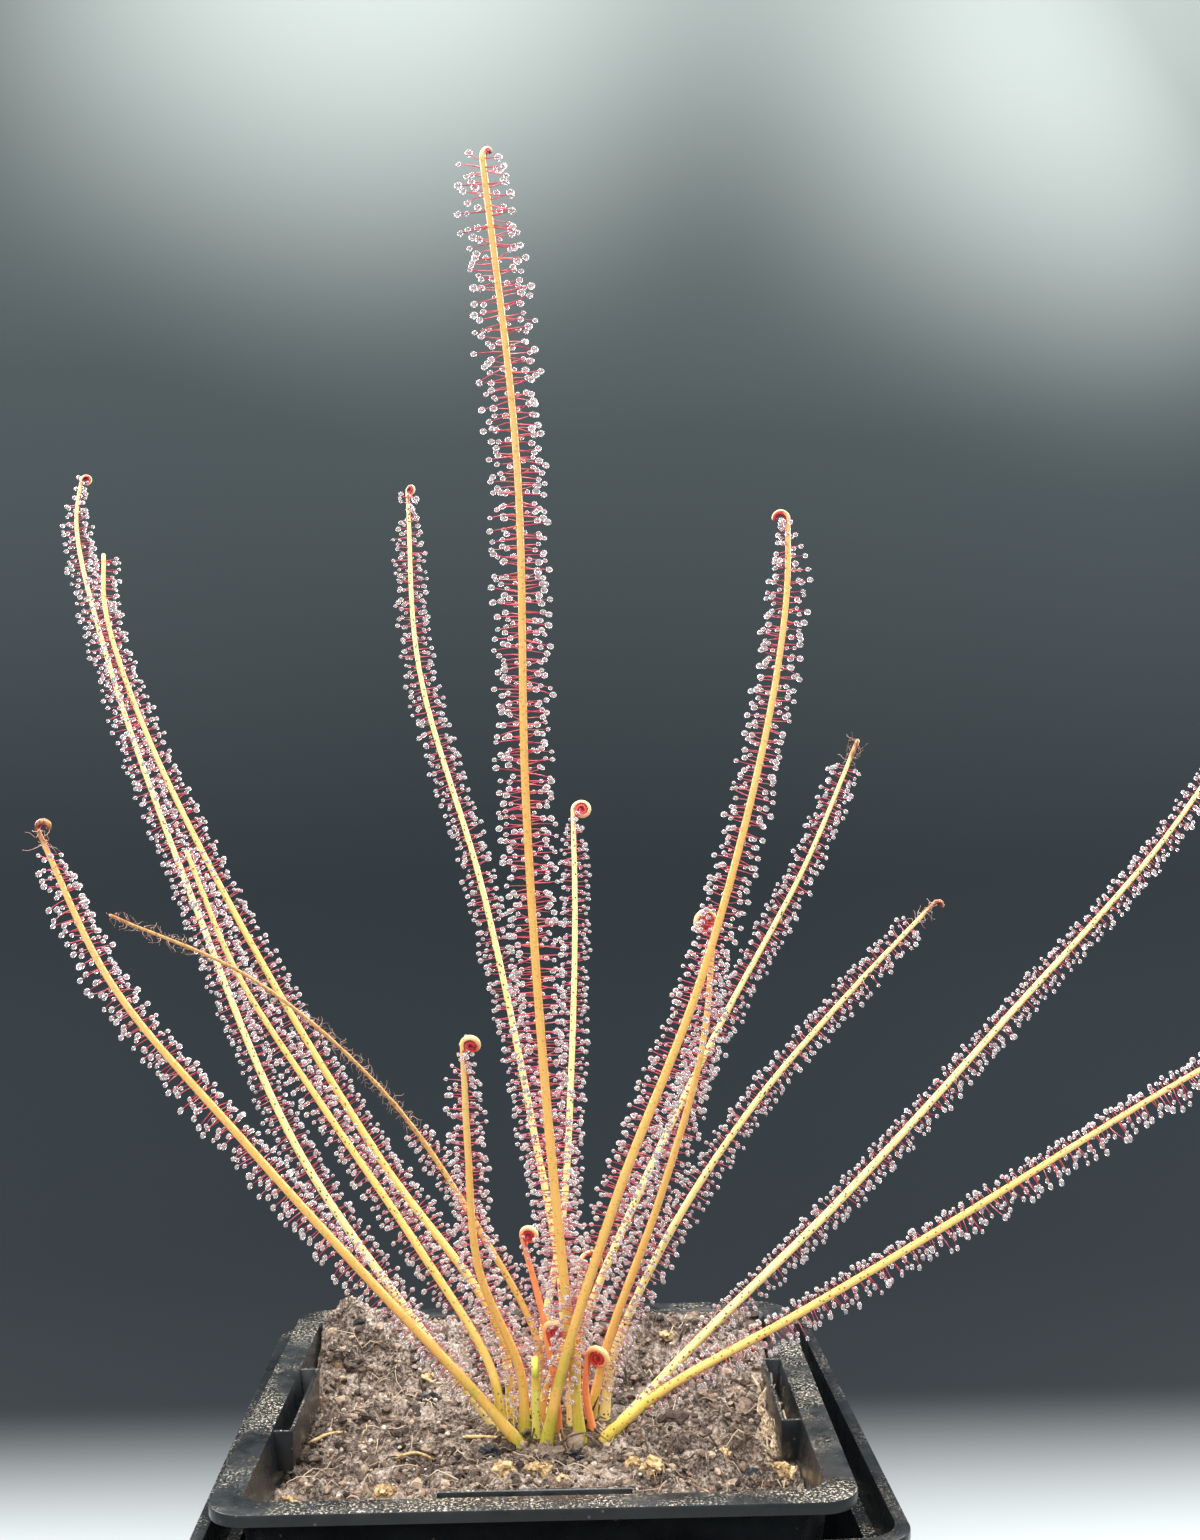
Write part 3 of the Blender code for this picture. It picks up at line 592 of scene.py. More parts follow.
def tentacleSites(leaf, rings, travelled, row, rng):
    # Yields the root, direction, length and share along the leaf of each tentacle in one row.
    degrees, share, pitch = row
    total = travelled[-1]
    place = total * leafLook["bareFoot"] * rng.uniform(0.8, 1.3)
    index = 1
    while place < total:
        while travelled[index] < place:
            index += 1
        blend = (place - travelled[index - 1]) / (travelled[index] - travelled[index - 1])
        a, b = rings[index - 1], rings[index]
        along = b[4]
        side = a[2].lerp(b[2], blend).normalized()
        direction = Matrix.Rotation(math.radians(degrees + rng.uniform(-12, 12)), 3, along) @ side
        direction = (direction + along * math.tan(rng.uniform(-1, 1) * tentacle["lean"])).normalized()
        radius = a[1] + (b[1] - a[1]) * blend
        grow = min(1.0, 0.45 + 2.2 * place / total)
        droop = leaf.get("droop", 0.0)
        hang = 1 + droop * (0.25 * max(0.0, -direction.z) - 0.45 * max(0.0, direction.z))
        reach = leaf["reach"] * mm * share * grow * hang * rng.uniform(0.74, 1.14)
        yield a[0].lerp(b[0], blend) + direction * radius * 0.72, direction, reach, place / total
        place += pitch * rng.uniform(0.75, 1.25) / leaf.get("dense", 1.0)


def makeTentacle(flesh, dew, leaf, site, rng):
    root, direction, reach, share = site
    dry = share > leaf.get("dewUntil", 2.0)
    bend, template = rng.choice(dryStalks if dry else stalks)
    turn = facing(direction, rng.uniform(0, math.tau))
    place = Matrix.Translation(root) @ turn
    longer = reach / tentacle["usualReach"]
    thick = rng.uniform(0.85, 1.15) * (0.5 + 0.5 * longer)
    stamp(flesh, template, place @ stretch(thick, thick, longer))
    if dry:
        return
    tip = place @ Vector((bend * thick, 0, reach))
    wide, long = tentacle["gland"]
    stamp(flesh, glandBall, Matrix.Translation(tip) @ turn @ stretch(wide, wide, long))
    size = rng.uniform(*tentacle["dew"]) * (0.8 if reach < tentacle["shortReach"] else 1.0)
    size *= 0.86 + 0.14 * leaf["reach"] / 2.4
    hang = leaf.get("droop", 0.35) * max(0.0, -direction.z) + 0.12
    pull = (direction * 0.5 - up * hang).normalized()
    shape = stretch(size, size, size * (1.08 + 0.35 * hang))
    stamp(dew, dewBall, Matrix.Translation(tip + pull * size * 0.15) @ facing(pull) @ shape)


def lineCoil(flesh, rings, blade, rng):
    # Red glands packed on the inside of the coil.
    batch = bmesh.new()
    wide, long = coilLining["gland"]
    for place, radius, side, _, along in rings[blade:]:
        for degrees in coilLining["rows"]:
            direction = Matrix.Rotation(math.radians(degrees + rng.uniform(-12, 12)), 3, along) @ side
            root = place + direction * radius * 0.85 + along * rng.uniform(-0.1, 0.1) * mm
            stamp(batch, glandBall, Matrix.Translation(root) @ facing(direction) @ stretch(wide, wide, long))
    pour(flesh, batch)
    batch.free()


def makeTentacles(name, leaf, rings, blade, rng):
    flesh, dew, fleshBatch, dewBatch = (bmesh.new() for _ in range(4))
    travelled = [0.0]
    for a, b in zip(rings, rings[1:blade]):
        travelled.append(travelled[-1] + (b[0] - a[0]).length)
    sites = (site for row in tentacleRows for site in tentacleSites(leaf, rings, travelled, row, rng))
    count = 0
    for count, site in enumerate(sites, 1):
        makeTentacle(fleshBatch, dewBatch, leaf, site, rng)
        if count % 30 == 0:
            pour(flesh, fleshBatch)
            pour(dew, dewBatch)
    pour(flesh, fleshBatch)
    pour(dew, dewBatch)
    fleshBatch.free()
    dewBatch.free()
    lineCoil(flesh, rings, blade, rng)
    addPiece(name + "_tentacles", flesh, fleshMaterial, slotOf(name))
    addPiece(name + "_dew", dew, dropMaterial, slotOf(name))
    return count


def makeLeaves():
    total = 0
    for number, (name, leaf) in enumerate(leaves.items()):
        rng = random.Random(400 + number)
        rings, blade = leafLine(leaf)
        makeBlade(name, leaf, rings)
        if leaf["reach"]:
            total += makeTentacles(name, leaf, rings, blade, rng)
        elif leaf["coil"]:
            flesh = bmesh.new()
            lineCoil(flesh, rings, blade, rng)
            addPiece(name + "_glands", flesh, fleshMaterial, "young_leaf")
    print("leaves made, with", total, "tentacles")


makeLeaves()


# The two pots: black moulded plastic, lofted through rounded squares, with every edge a little soft

outerPot = {
    "rimHalf": 50.3 * mm,
    "height": 83.5 * mm,
    "baseHalf": 38.0 * mm,
    "rimWidth": 2.0 * mm,
    "rimLip": 1.5 * mm,
    "collar": 7.7 * mm,
    "shoulder": 2.1 * mm,
    "wall": 0.8 * mm,
    "floor": 1.2 * mm,
    "corner": 6.0 * mm,
    "turn": math.radians(1.2),
}

innerPot = {
    "rimHalf": 45.0 * mm,
    "height": 88.0 * mm,
    "baseHalf": 31.0 * mm,
    "wall": 0.8 * mm,
    "floor": 1.0 * mm,
    "corner": 5.5 * mm,
    "insideCorner": 4.0 * mm,
    "overhang": 3.6 * mm,
    "rimThick": 0.9 * mm,
    "lipDrop": 1.8 * mm,
    "lipThick": 0.8 * mm,
    "place": Vector((-1.2 * mm, -4.8 * mm, 1.5 * mm)),
    "lugLength": 28.3 * mm,
    "lugReach": 3.1 * mm,
    "lugDepth": 6.5 * mm,
    "lugWall": 0.8 * mm,
    "lugBelowRim": 0.25 * mm,
}

potFinish = {
    "cornerSteps": 9,
    "softEdge": 0.22 * mm,
    "softAngle": math.radians(25),
    "sharpAngle": math.radians(35),
}


def squareLoop(bm, half, corner, z):
    # A circle whose four quarters are pushed apart, which leaves a square with round corners.
    steps = potFinish["cornerSteps"] * 4
    turn = Matrix.Translation((0, 0, z)) @ Matrix.Rotation(math.pi / steps, 4, "Z")
    made = bmesh.ops.create_circle(bm, segments=steps, radius=corner, matrix=turn)["verts"]
    for vert in made:
        vert.co.x += math.copysign(half - corner, vert.co.x)
        vert.co.y += math.copysign(half - corner, vert.co.y)
    return edgesOf(made)


def nextLoop(bm, edges, old, new):
    # Extrudes a square loop and moves the copy to the next section of the pot.
    made = bmesh.ops.extrude_edge_only(bm, edges=edges)["geom"]
    fresh = set(vertsIn(made))
    for vert in fresh:
        for axis in (0, 1):
            spread = abs(vert.co[axis]) - (old[0] - old[1])
            vert.co[axis] = math.copysign(new[0] - new[1] + spread * new[1] / old[1], vert.co[axis])
        vert.co.z = new[2]
    return [item for item in made if isinstance(item, bmesh.types.BMEdge) and set(item.verts) <= fresh]


def potShell(sections):
    bm = bmesh.new()
    first = squareLoop(bm, *sections[0])
    last = first
    for old, new in zip(sections, sections[1:]):
        last = nextLoop(bm, last, old, new)
    bmesh.ops.contextual_create(bm, geom=first)
    bmesh.ops.contextual_create(bm, geom=last)
    bmesh.ops.recalc_face_normals(bm, faces=bm.faces)
    softenEdges(bm)
    return bm


def softenEdges(bm):
    least = potFinish["softAngle"]
    sharp = [edge for edge in bm.edges if edge.is_manifold and edge.calc_face_angle() > least]
    bmesh.ops.bevel(bm, geom=sharp, offset=potFinish["softEdge"], offset_type="OFFSET", segments=2,
                    profile=0.5, affect="EDGES", clamp_overlap=True, material=-1)


def potPlastic(name, dust, gloss):
    # Black plastic, with a grey film and tan splashes of peat on what faces up, and fine scratches.
    material, tree, shader = newMaterial(name, gloss, Specular_IOR_Level=0.5)
    point = objectPoint(tree)
    lie = addNode(tree, "SeparateXYZ", {"Vector": addNode(tree, "NewGeometry").outputs["Normal"]})
    topness = remap(tree, lie.outputs["Z"], 0.55, 0.95)
    patches = remap(tree, noiseOf(tree, point, 75.0), 0.43, 0.62)
    specks = remap(tree, noiseOf(tree, point, 2300.0, 3.0, 0.75), 0.54, 0.62)
    splash = times(tree, times(tree, patches, specks), topness)
    film = remap(tree, noiseOf(tree, point, 330.0, 5.0, 0.7), 0.38, 0.78, 0.02, 0.34)
    film = times(tree, film, plus(tree, times(tree, topness, 0.8), 0.2))
    loose = remap(tree, cellsOf(tree, point, 420.0), 0.05, 0.11, 0.35, 0.0)
    colour = ramp(tree, noiseOf(tree, point, 60.0, 2.0),
                  [(0.3, (0.004, 0.005, 0.006)), (0.7, (0.010, 0.012, 0.014))])
    for amount, tone in ((film, (0.085, 0.095, 0.10)), (loose, (0.20, 0.18, 0.14)),
                         (splash, (0.62, 0.54, 0.42))):
        colour = mixColour(tree, times(tree, amount, dust), colour, tone)
    tree.links.new(colour, shader.inputs["Base Color"])
    rough = remap(tree, noiseOf(tree, point, 260.0), 0.3, 0.7, gloss - 0.08, gloss + 0.12)
    rough = plus(tree, rough, times(tree, splash, 0.4))
    tree.links.new(rough, shader.inputs["Roughness"])
    scratches = noiseOf(tree, squeezed(tree, point, 0.12), 1400.0)
    addBump(tree, shader, plus(tree, scratches, times(tree, splash, 1.5)), 0.25, 0.00012)
    return material


def makeOuterPot():
    pot = outerPot
    shoulder = pot["height"] - pot["collar"]
    lipUnder = pot["height"] - pot["rimLip"]
    collarIn = pot["rimHalf"] - pot["rimWidth"]
    collarOut = collarIn + pot["wall"]
    bodyIn = collarIn - pot["shoulder"]
    outside, inside = pot["corner"], pot["corner"] - pot["wall"]
    bm = potShell([
        (pot["baseHalf"], outside, 0),
        (bodyIn + pot["wall"], outside, shoulder - pot["wall"]),
        (collarOut, outside, shoulder - pot["wall"]),
        (collarOut, outside, lipUnder),
        (pot["rimHalf"], outside, lipUnder),
        (pot["rimHalf"], outside, pot["height"]),
        (collarIn, inside, pot["height"]),
        (collarIn, inside, shoulder),
        (bodyIn, inside, shoulder),
        (pot["baseHalf"] - pot["wall"], inside, pot["floor"]),
    ])
    bmesh.ops.rotate(bm, matrix=Matrix.Rotation(pot["turn"], 3, "Z"), verts=bm.verts)
    addPot("outer_pot", bm, potPlastic("outer_pot_plastic", 0.45, 0.24))


def addPot(node, bm, plastic):
    mesh = addPiece(node + "_moulding", bm, plastic, node, node, smooth=False).data
    mesh.shade_smooth()
    mesh.set_sharp_from_angle(angle=potFinish["sharpAngle"])


def innerHalf(z):
    # Half width of the inner pot's cavity at a height above its own underside.
    pot = innerPot
    top = pot["rimHalf"] - pot["overhang"] - pot["wall"]
    bottom = pot["baseHalf"] - pot["wall"]
    return bottom + (top - bottom) * (z - pot["floor"]) / (pot["height"] - pot["floor"])


def addLug(bm, turn):
    # A stacking lug: a box against the wall with a deep pocket pressed into its top.
    pot = innerPot
    wall = pot["lugWall"]
    reach = pot["lugReach"] + wall
    top = pot["height"] - pot["lugBelowRim"]
    depth = pot["lugDepth"] - pot["lugBelowRim"]
    middle = innerHalf(pot["height"]) + wall - reach / 2
    made = bmesh.ops.create_cube(bm, size=1.0)["verts"]
    bmesh.ops.scale(bm, vec=(reach, pot["lugLength"], depth), verts=made)
    bmesh.ops.translate(bm, vec=(middle, 0, top - depth / 2), verts=made)
    for vert in made:
        # Its foot follows the taper of the wall
        if vert.co.z < top - depth / 2 and vert.co.x > middle:
            vert.co.x -= innerHalf(top) - innerHalf(top - depth) + wall / 2
    faces = list({face for vert in made for face in vert.link_faces})
    lid = [face for face in faces if face.calc_center_median().z > top - 0.01 * mm]
    bmesh.ops.inset_region(bm, faces=lid, thickness=wall)
    pushed = bmesh.ops.extrude_face_region(bm, geom=lid)["geom"]
    bmesh.ops.delete(bm, geom=lid, context="FACES")
    bmesh.ops.translate(bm, vec=(0, 0, wall - depth), verts=vertsIn(pushed))
    bmesh.ops.recalc_face_normals(bm, faces=bm.faces)
    softenEdges(bm)
    bmesh.ops.rotate(bm, matrix=Matrix.Rotation(turn, 3, "Z"), verts=bm.verts)


def makeInnerPot():
    pot = innerPot
    under = pot["height"] - pot["rimThick"]
    lipUnder = pot["height"] - pot["lipDrop"]
    lipIn = pot["rimHalf"] - pot["lipThick"]
    outside, inside = pot["corner"], pot["insideCorner"]
    bm = potShell([
        (pot["baseHalf"], outside, 0),
        (pot["rimHalf"] - pot["overhang"], inside + pot["wall"], under),
        (lipIn, outside, under),
        (lipIn, outside, lipUnder),
        (pot["rimHalf"], outside, lipUnder),
        (pot["rimHalf"], outside, pot["height"]),
        (innerHalf(pot["height"]), inside, pot["height"]),
        (innerHalf(pot["floor"]), inside, pot["floor"]),
    ])
    lug = bmesh.new()
    for side in range(4):
        addLug(lug, math.radians(90) * side)
        pour(bm, lug)
    lug.free()
    bmesh.ops.translate(bm, vec=pot["place"], verts=bm.verts)
    addPot("inner_pot", bm, potPlastic("inner_pot_plastic", 1.0, 0.27))


makeOuterPot()
makeInnerPot()
print("pots made")


# Soil: a crumbled sheet of peat, and on it the litter of crumbs, fibres, grains and pumice

soil = {
    "level": 81.5 * mm,
    "cells": 165,
    "foot": 9.0 * mm,
    "footShare": 0.975,
    "crownReach": 16 * mm,
    "crownDip": 0.6 * mm,
    "waveRise": 0.7 * mm,
    "clodRise": 1.5 * mm,
    "roughness": ((0.9 * mm, 420, (3, 1, 0)), (0.75 * mm, 1250, (0, 0, 0))),    # rise, pitch and shift
    "crumbRise": 0.45 * mm,
    "holeDepth": 2.6 * mm,
    # hollows and mounds: x and y in mm, radius in mm, rise in mm
    "bumps": [(-36.2, 31.2, 8, 5.0), (29.8, -26.8, 5, -2.5), (33.5, -14, 3.6, -3.0), (34.0, -3, 2.4, -3.2),
              (-38, -14, 3.0, -2.6), (-36, -30, 5, -1.2), (4.5, -11, 2.4, -1.4), (18, 34, 10, 1.5),
              (-14, 36, 12, 1.6), (37, 30, 7, 2.2)],
    "backRise": 5.6 * mm,
    "backFrom": 20 * mm,
    "backOver": 17 * mm,
    "edgeRise": 1.3 * mm,
    "edgeFrom": 33 * mm,
    "edgeOver": 7 * mm,
    "lugHalf": 16 * mm,           # the peat doesn't rise in front of the lugs
    "crumbs": 2600,
    "clods": 60,
    "fibres": 520,
    "grains": 210,
    "litterHalf": 38.5 * mm,
    "gritHalf": 38,
    "fibreArea": (-38, 36, -42, 33),
}


def bump(x, y, centre, radius, height):
    away = math.hypot(x - centre[0], y - centre[1]) / radius
    return height * math.exp(-away * away)


def soilWaves():
    rng = random.Random(7)
    waves = []
    for _ in range(9):
        angle = rng.uniform(0, math.tau)
        pitch = rng.uniform(350, 900)
        waves.append((pitch * math.cos(angle), pitch * math.sin(angle), rng.uniform(0, math.tau)))
    return waves


waves = soilWaves()


def soilRise(x, y, fine=True):
    # Height of the peat at a place in the pot, in metres.
    potX, potY = x - innerPot["place"].x, y - innerPot["place"].y
    rough = sum(math.sin(kx * potX + ky * potY + phase) for kx, ky, phase in waves) / 3
    nearCrown = bump(x, y, crown["centre"], soil["crownReach"], 1.0)
    z = soil["level"] + soil["waveRise"] * rough * (1 - 0.8 * nearCrown) - soil["crownDip"] * nearCrown
    for bx, by, radius, rise in soil["bumps"]:
        z += bump(x, y, (bx * mm, by * mm), radius * mm, rise * mm)
    if min(abs(potX), abs(potY)) > soil["lugHalf"]:
        z += soil["edgeRise"] * max(0.0, (max(abs(potX), abs(potY)) - soil["edgeFrom"]) / soil["edgeOver"])
    z += soil["backRise"] * clamp((potY - soil["backFrom"]) / soil["backOver"]) ** 1.4
    if fine:
        place = Vector((x, y, 0))
        warp = noise.noise_vector(place * 700) * 0.4 * mm
        clods = noise.voronoi((place + warp) * 430)[0]
        z += soil["clodRise"] * (0.36 - clods[0]) * (1 - 0.5 * nearCrown)
        for rise, pitch, shift in soil["roughness"]:
            z += rise * noise.noise(place * pitch + Vector(shift))
        z += soil["crumbRise"] * abs(noise.noise(place * 2300 + Vector((5, 0, 7))))
        z -= soil["holeDepth"] * max(0.0, noise.noise(place * 520 + Vector((9, 4, 2))) - 0.22)
    return z


def roundCorner(x, y, half, corner, reach):
    # Pulls a point in where it lies outside the round corner of its own square, a share of the whole.
    straight, corner = (half - corner) * reach, corner * reach
    dx, dy = abs(x) - straight, abs(y) - straight
    if dx > 0 and dy > 0 and math.hypot(dx, dy) > corner:
        shrink = corner / math.hypot(dx, dy)
        x = math.copysign(straight + dx * shrink, x)
        y = math.copysign(straight + dy * shrink, y)
    return x, y


def makeSoilSheet():
    bm = bmesh.new()
    bmesh.ops.create_grid(bm, x_segments=soil["cells"], y_segments=soil["cells"], size=1.0)
    border = [edge for edge in bm.edges if edge.is_boundary]
    middle = innerPot["place"]
    half = innerHalf(soil["level"] - middle.z)
    for vert in bm.verts:
        u, v = vert.co.x, vert.co.y
        reach = max(abs(u), abs(v))
        x, y = roundCorner(u * half, v * half, half, innerPot["insideCorner"], reach)
        x, y = x + middle.x, y + middle.y
        vert.co = (x, y, soilRise(x, y))
    for vert in vertsIn(bmesh.ops.extrude_edge_only(bm, edges=border)["geom"]):
        vert.co.x = middle.x + (vert.co.x - middle.x) * soil["footShare"]
        vert.co.y = middle.y + (vert.co.y - middle.y) * soil["footShare"]
        vert.co.z = soil["level"] - soil["foot"]
    bmesh.ops.holes_fill(bm, edges=[edge for edge in bm.edges if edge.is_boundary])
    bmesh.ops.recalc_face_normals(bm, faces=bm.faces)
    addPiece("soil_peat", bm, peatMaterial(), "soil", "soil")


def peatMaterial():
    material, tree, shader = newMaterial("damp_peat", 0.85, Specular_IOR_Level=0.25)
    point = objectPoint(tree)
    broad = noiseOf(tree, point, 140.0, 5.0, 0.7)
    fine = noiseOf(tree, point, 1500.0, 5.0, 0.75)
    mixed = plus(tree, times(tree, broad, 0.45), times(tree, fine, 0.55))
    colour = ramp(tree, mixed, [(0.38, (0.007, 0.005, 0.004)), (0.46, (0.075, 0.055, 0.044)),
                                (0.53, (0.31, 0.245, 0.20)), (0.61, (0.72, 0.61, 0.52))])
    rust = remap(tree, noiseOf(tree, point, 420.0), 0.56, 0.7, 0.0, 0.5)
    colour = mixColour(tree, rust, colour, (0.30, 0.16, 0.08))
    tree.links.new(colour, shader.inputs["Base Color"])
    tree.links.new(remap(tree, fine, 0.3, 0.7, 0.95, 0.65), shader.inputs["Roughness"])
    addBump(tree, shader, fine, 1.0, 0.0009)
    return material


def litterMaterial():
    material, tree, shader = newMaterial("peat_litter", 0.8, Specular_IOR_Level=0.3)
    fine = noiseOf(tree, objectPoint(tree), 1900.0, 4.0, 0.7)
    value = plus(tree, valueOf(tree, "shade"), remap(tree, fine, 0.3, 0.7, -0.16, 0.16))
    colour = ramp(tree, value, [(0.0, (0.014, 0.010, 0.008)), (0.25, (0.09, 0.062, 0.048)),
                                (0.5, (0.28, 0.205, 0.155)), (0.75, (0.48, 0.36, 0.25)),
                                (1.0, (0.70, 0.56, 0.40))])
    tree.links.new(colour, shader.inputs["Base Color"])
    addBump(tree, shader, fine, 0.8, 0.0003)
    return material


def shadeLayer(bm):
    return bm.verts.layers.float.get("shade") or bm.verts.layers.float.new("shade")


def setShade(bm, verts, shade):
    layer = shadeLayer(bm)
    for vert in verts:
        vert[layer] = shade


def lumpTemplate(seed, subdivisions, roughness):
    bm = bmesh.new()
    shadeLayer(bm)
    shift = Vector((seed * 7.3, seed * 1.7, 0))
    for vert in bmesh.ops.create_icosphere(bm, subdivisions=subdivisions, radius=1.0)["verts"]:
        lumps = noise.noise(vert.co * 1.6 + shift) + 0.6 * noise.noise(vert.co * 3.7 + shift)
        vert.co *= 1 + roughness * lumps
    return toMesh("lump", bm)


def layLump(bm, templates, rng, place, radius, tilt, longer, flat, sink):
    # Lays one turned and flattened lump on the peat and returns its vertices.
    x, y = place
    turn = Matrix.Rotation(rng.uniform(0, math.tau), 4, "Z")
    turn @= Matrix.Rotation(rng.uniform(-tilt, tilt), 4, "X")
    shape = stretch(radius * rng.uniform(*longer), radius, radius * flat)
    lift = Matrix.Translation((x, y, soilRise(x, y) + radius * sink))
    return stamp(bm, rng.choice(templates), lift @ turn @ shape)


def strand(bm, points, radius, sides=3, taper=0.5, shade=0.5):
    # A thin fibre through the points, closed at both ends.
    shadeLayer(bm)
    last = None
    for i, point in enumerate(points):
        along = (points[min(i + 1, len(points) - 1)] - points[max(i - 1, 0)]).normalized()
        side = (side - along * side.dot(along) if last else along.orthogonal()).normalized()
        size = radius * (1 - taper * i / (len(points) - 1))
        made, edges = ringLoop(bm, point, along, side, size, sides)
        setShade(bm, made, shade)
        last = joinLoop(bm, last, edges)
    bmesh.ops.contextual_create(bm, geom=last)


def dropFibres(count, rng, length, radius, shade, lift):
    # Curved fibres that lie over the peat inside an area given by its least and greatest x and y.
    area = soil["fibreArea"]
    steps = 5

    def addFibre(batch):
        x, y = rng.uniform(area[0], area[1]) * mm, rng.uniform(area[2], area[3]) * mm
        heading = rng.uniform(0, math.tau)
        long = rng.uniform(*length) * mm
        curl = rng.uniform(-1.6, 1.6)
        points = []
        for step in range(steps + 1):
            angle = heading + curl * step / steps
            top = soilRise(x, y) + (0.25 + lift * rng.uniform(0, 1)) * mm
            points.append(Vector((x, y, top + 0.5 * mm * math.sin(math.pi * step / steps))))
            x, y = keepInPot(x + math.cos(angle) * long / steps, y + math.sin(angle) * long / steps)
        strand(batch, points, rng.uniform(*radius) * mm, shade=rng.uniform(*shade))

    return gather(count, addFibre)


def keepInPot(x, y):
    half = innerHalf(soil["level"] - innerPot["place"].z) - 1.0 * mm
    cx, cy = innerPot["place"].x, innerPot["place"].y
    return max(cx - half, min(cx + half, x)), max(cy - half, min(cy + half, y))


def scatterLumps(templates, count, rng, size, shade, flat=0.7, sink=0.25):
    half = soil["litterHalf"]

    def addLump(batch):
        x = innerPot["place"].x + rng.uniform(-half, half)
        y = innerPot["place"].y + rng.uniform(-half, half)
        radius = (size[0] + (size[1] - size[0]) * rng.random() ** 2.6) * mm
        fresh = layLump(batch, templates, rng, (x, y), radius, 0.6, (0.8, 1.6), flat, sink)
        setShade(batch, fresh, rng.uniform(*shade))

    return gather(count, addLump)


def makeLitter():
    rng = random.Random(55)
    small = [lumpTemplate(seed, 1, 0.75) for seed in range(8)]
    large = [lumpTemplate(seed, 2, 0.6) for seed in range(5)]
    litter = scatterLumps(small, soil["crumbs"], rng, (0.22, 0.95), (0.0, 0.68))
    pour(litter, scatterLumps(large, soil["clods"], rng, (0.9, 2.1), (0.05, 0.45), flat=0.55, sink=0.0))
    addPiece("soil_litter", litter, litterMaterial(), "soil", smooth=False)
    third = soil["fibres"] // 3
    fibres = dropFibres(soil["fibres"] * 2 // 3, rng, (1.5, 5), (0.10, 0.26), (0.1, 0.6), 0.3)
    pour(fibres, dropFibres(third, rng, (2.5, 8), (0.07, 0.15), (0.45, 0.95), 0.5))
    addPiece("soil_fibres", fibres, litterMaterial(), "soil")


makeSoilSheet()
makeLitter()
print("soil made")


# What lies on the peat: pumice, grit, a tan clump on the right-hand lug, straws and the plant's own litter

topping = {
    # pumice chips: x, y and radius in mm
    "pumice": [(-24.1, -25.7, 1.5), (-6.4, -17.4, 1.7), (-1.0, -15.4, 2.0), (16.3, -19.4, 1.9),
               (13.6, -15.7, 1.3), (27.6, -13.9, 1.3), (36.6, -21.2, 1.9), (3.7, 30.5, 1.2),
               (-15.1, 20.3, 1.2), (12.1, 27.0, 1.5), (-21.1, 21.7, 1.1), (21.6, 29.3, 1.4),
               (-38.0, -24.3, 1.6), (-12.4, -26.5, 1.2), (24.1, -24.9, 1.0), (2.4, -20.2, 1.1),
               (31.5, -28.5, 1.2)],
    "charcoal": [(31.8, -15.6, 2.0), (-20.4, 13.4, 1.6), (4.8, -9.2, 1.4), (-9.0, -9.5, 1.5),
                 (16.0, 9.5, 1.3)],
    # straws: points in mm above the peat
    "straws": [[(9.8, -1.0, 0.8), (13.0, 2.6, 1.2), (17.6, 5.2, 1.6)],
               [(-13.4, -2.4, 0.5), (-9.4, -3.8, 0.7), (-6.4, -3.6, 0.6)],
               [(-38.5, -4.7, 0.5), (-35.5, -2.6, 0.9), (-33.0, -1.2, 0.6)],
               [(-22.5, 21.5, 0.6), (-19.8, 19.5, 0.8), (-16.8, 18.0, 0.6)],
               [(-24.0, -12.0, 0.4), (-20.5, -10.5, 0.8), (-17.8, -11.5, 0.4)]],
    "chipTones": {
        "pumice": ((0.11, 0.065, 0.03), (0.42, 0.27, 0.12), (0.76, 0.60, 0.36)),
        "charcoal": ((0.004, 0.004, 0.005), (0.018, 0.019, 0.022), (0.07, 0.075, 0.085)),
    },
    "chipShare": 0.85,
    "strawRadius": 0.34 * mm,
    "clumpX": (35.2, 37.9),
    "clumpY": (-14.0, 8.5),
    "clumpTop": 87.9 * mm,
    "clumpStrands": 150,
}

crownLook = {
    "half": (12.2 * mm, 9.2 * mm, 3.4 * mm),
    "sunk": 2.3 * mm,
    "roots": 120,
    # the dark stub of a dead leaf, an arched dry root and the swollen foot beside it, in mm
    "stub": [(5.0, -3.2, 81.0), (5.9, -2.9, 83.0), (7.2, -2.4, 85.0), (8.4, -2.2, 87.4)],
    "arch": [(1.6, -7.6, 81.4), (3.2, -7.9, 83.0), (6.0, -7.8, 83.7), (8.6, -7.6, 83.1), (10.6, -8.2, 81.6)],
    "bulb": (4.6, -6.4, 81.6),
}


def chipMaterial(name, dark, middle, light):
    material, tree, shader = newMaterial(name, 0.8, Specular_IOR_Level=0.3)
    point = objectPoint(tree)
    fine = noiseOf(tree, point, 1300.0, 4.0, 0.7)
    colour = ramp(tree, fine, [(0.34, dark), (0.5, middle), (0.66, light)])
    tree.links.new(colour, shader.inputs["Base Color"])
    addBump(tree, shader, fine, 0.9, 0.0004)
    return material


def makePumice():
    rng = random.Random(91)
    chips = [lumpTemplate(seed + 20, 3, 0.65) for seed in range(5)]
    for kind, tones in topping["chipTones"].items():
        bm = bmesh.new()
        for x, y, radius in topping[kind]:
            layLump(bm, chips, rng, (x * mm, y * mm), radius * topping["chipShare"] * mm, 0.5, (1.0, 1.3),
                    0.75, 0.2)
        addPiece("soil_" + kind, bm, chipMaterial("soil_" + kind, *tones), "soil", smooth=False)


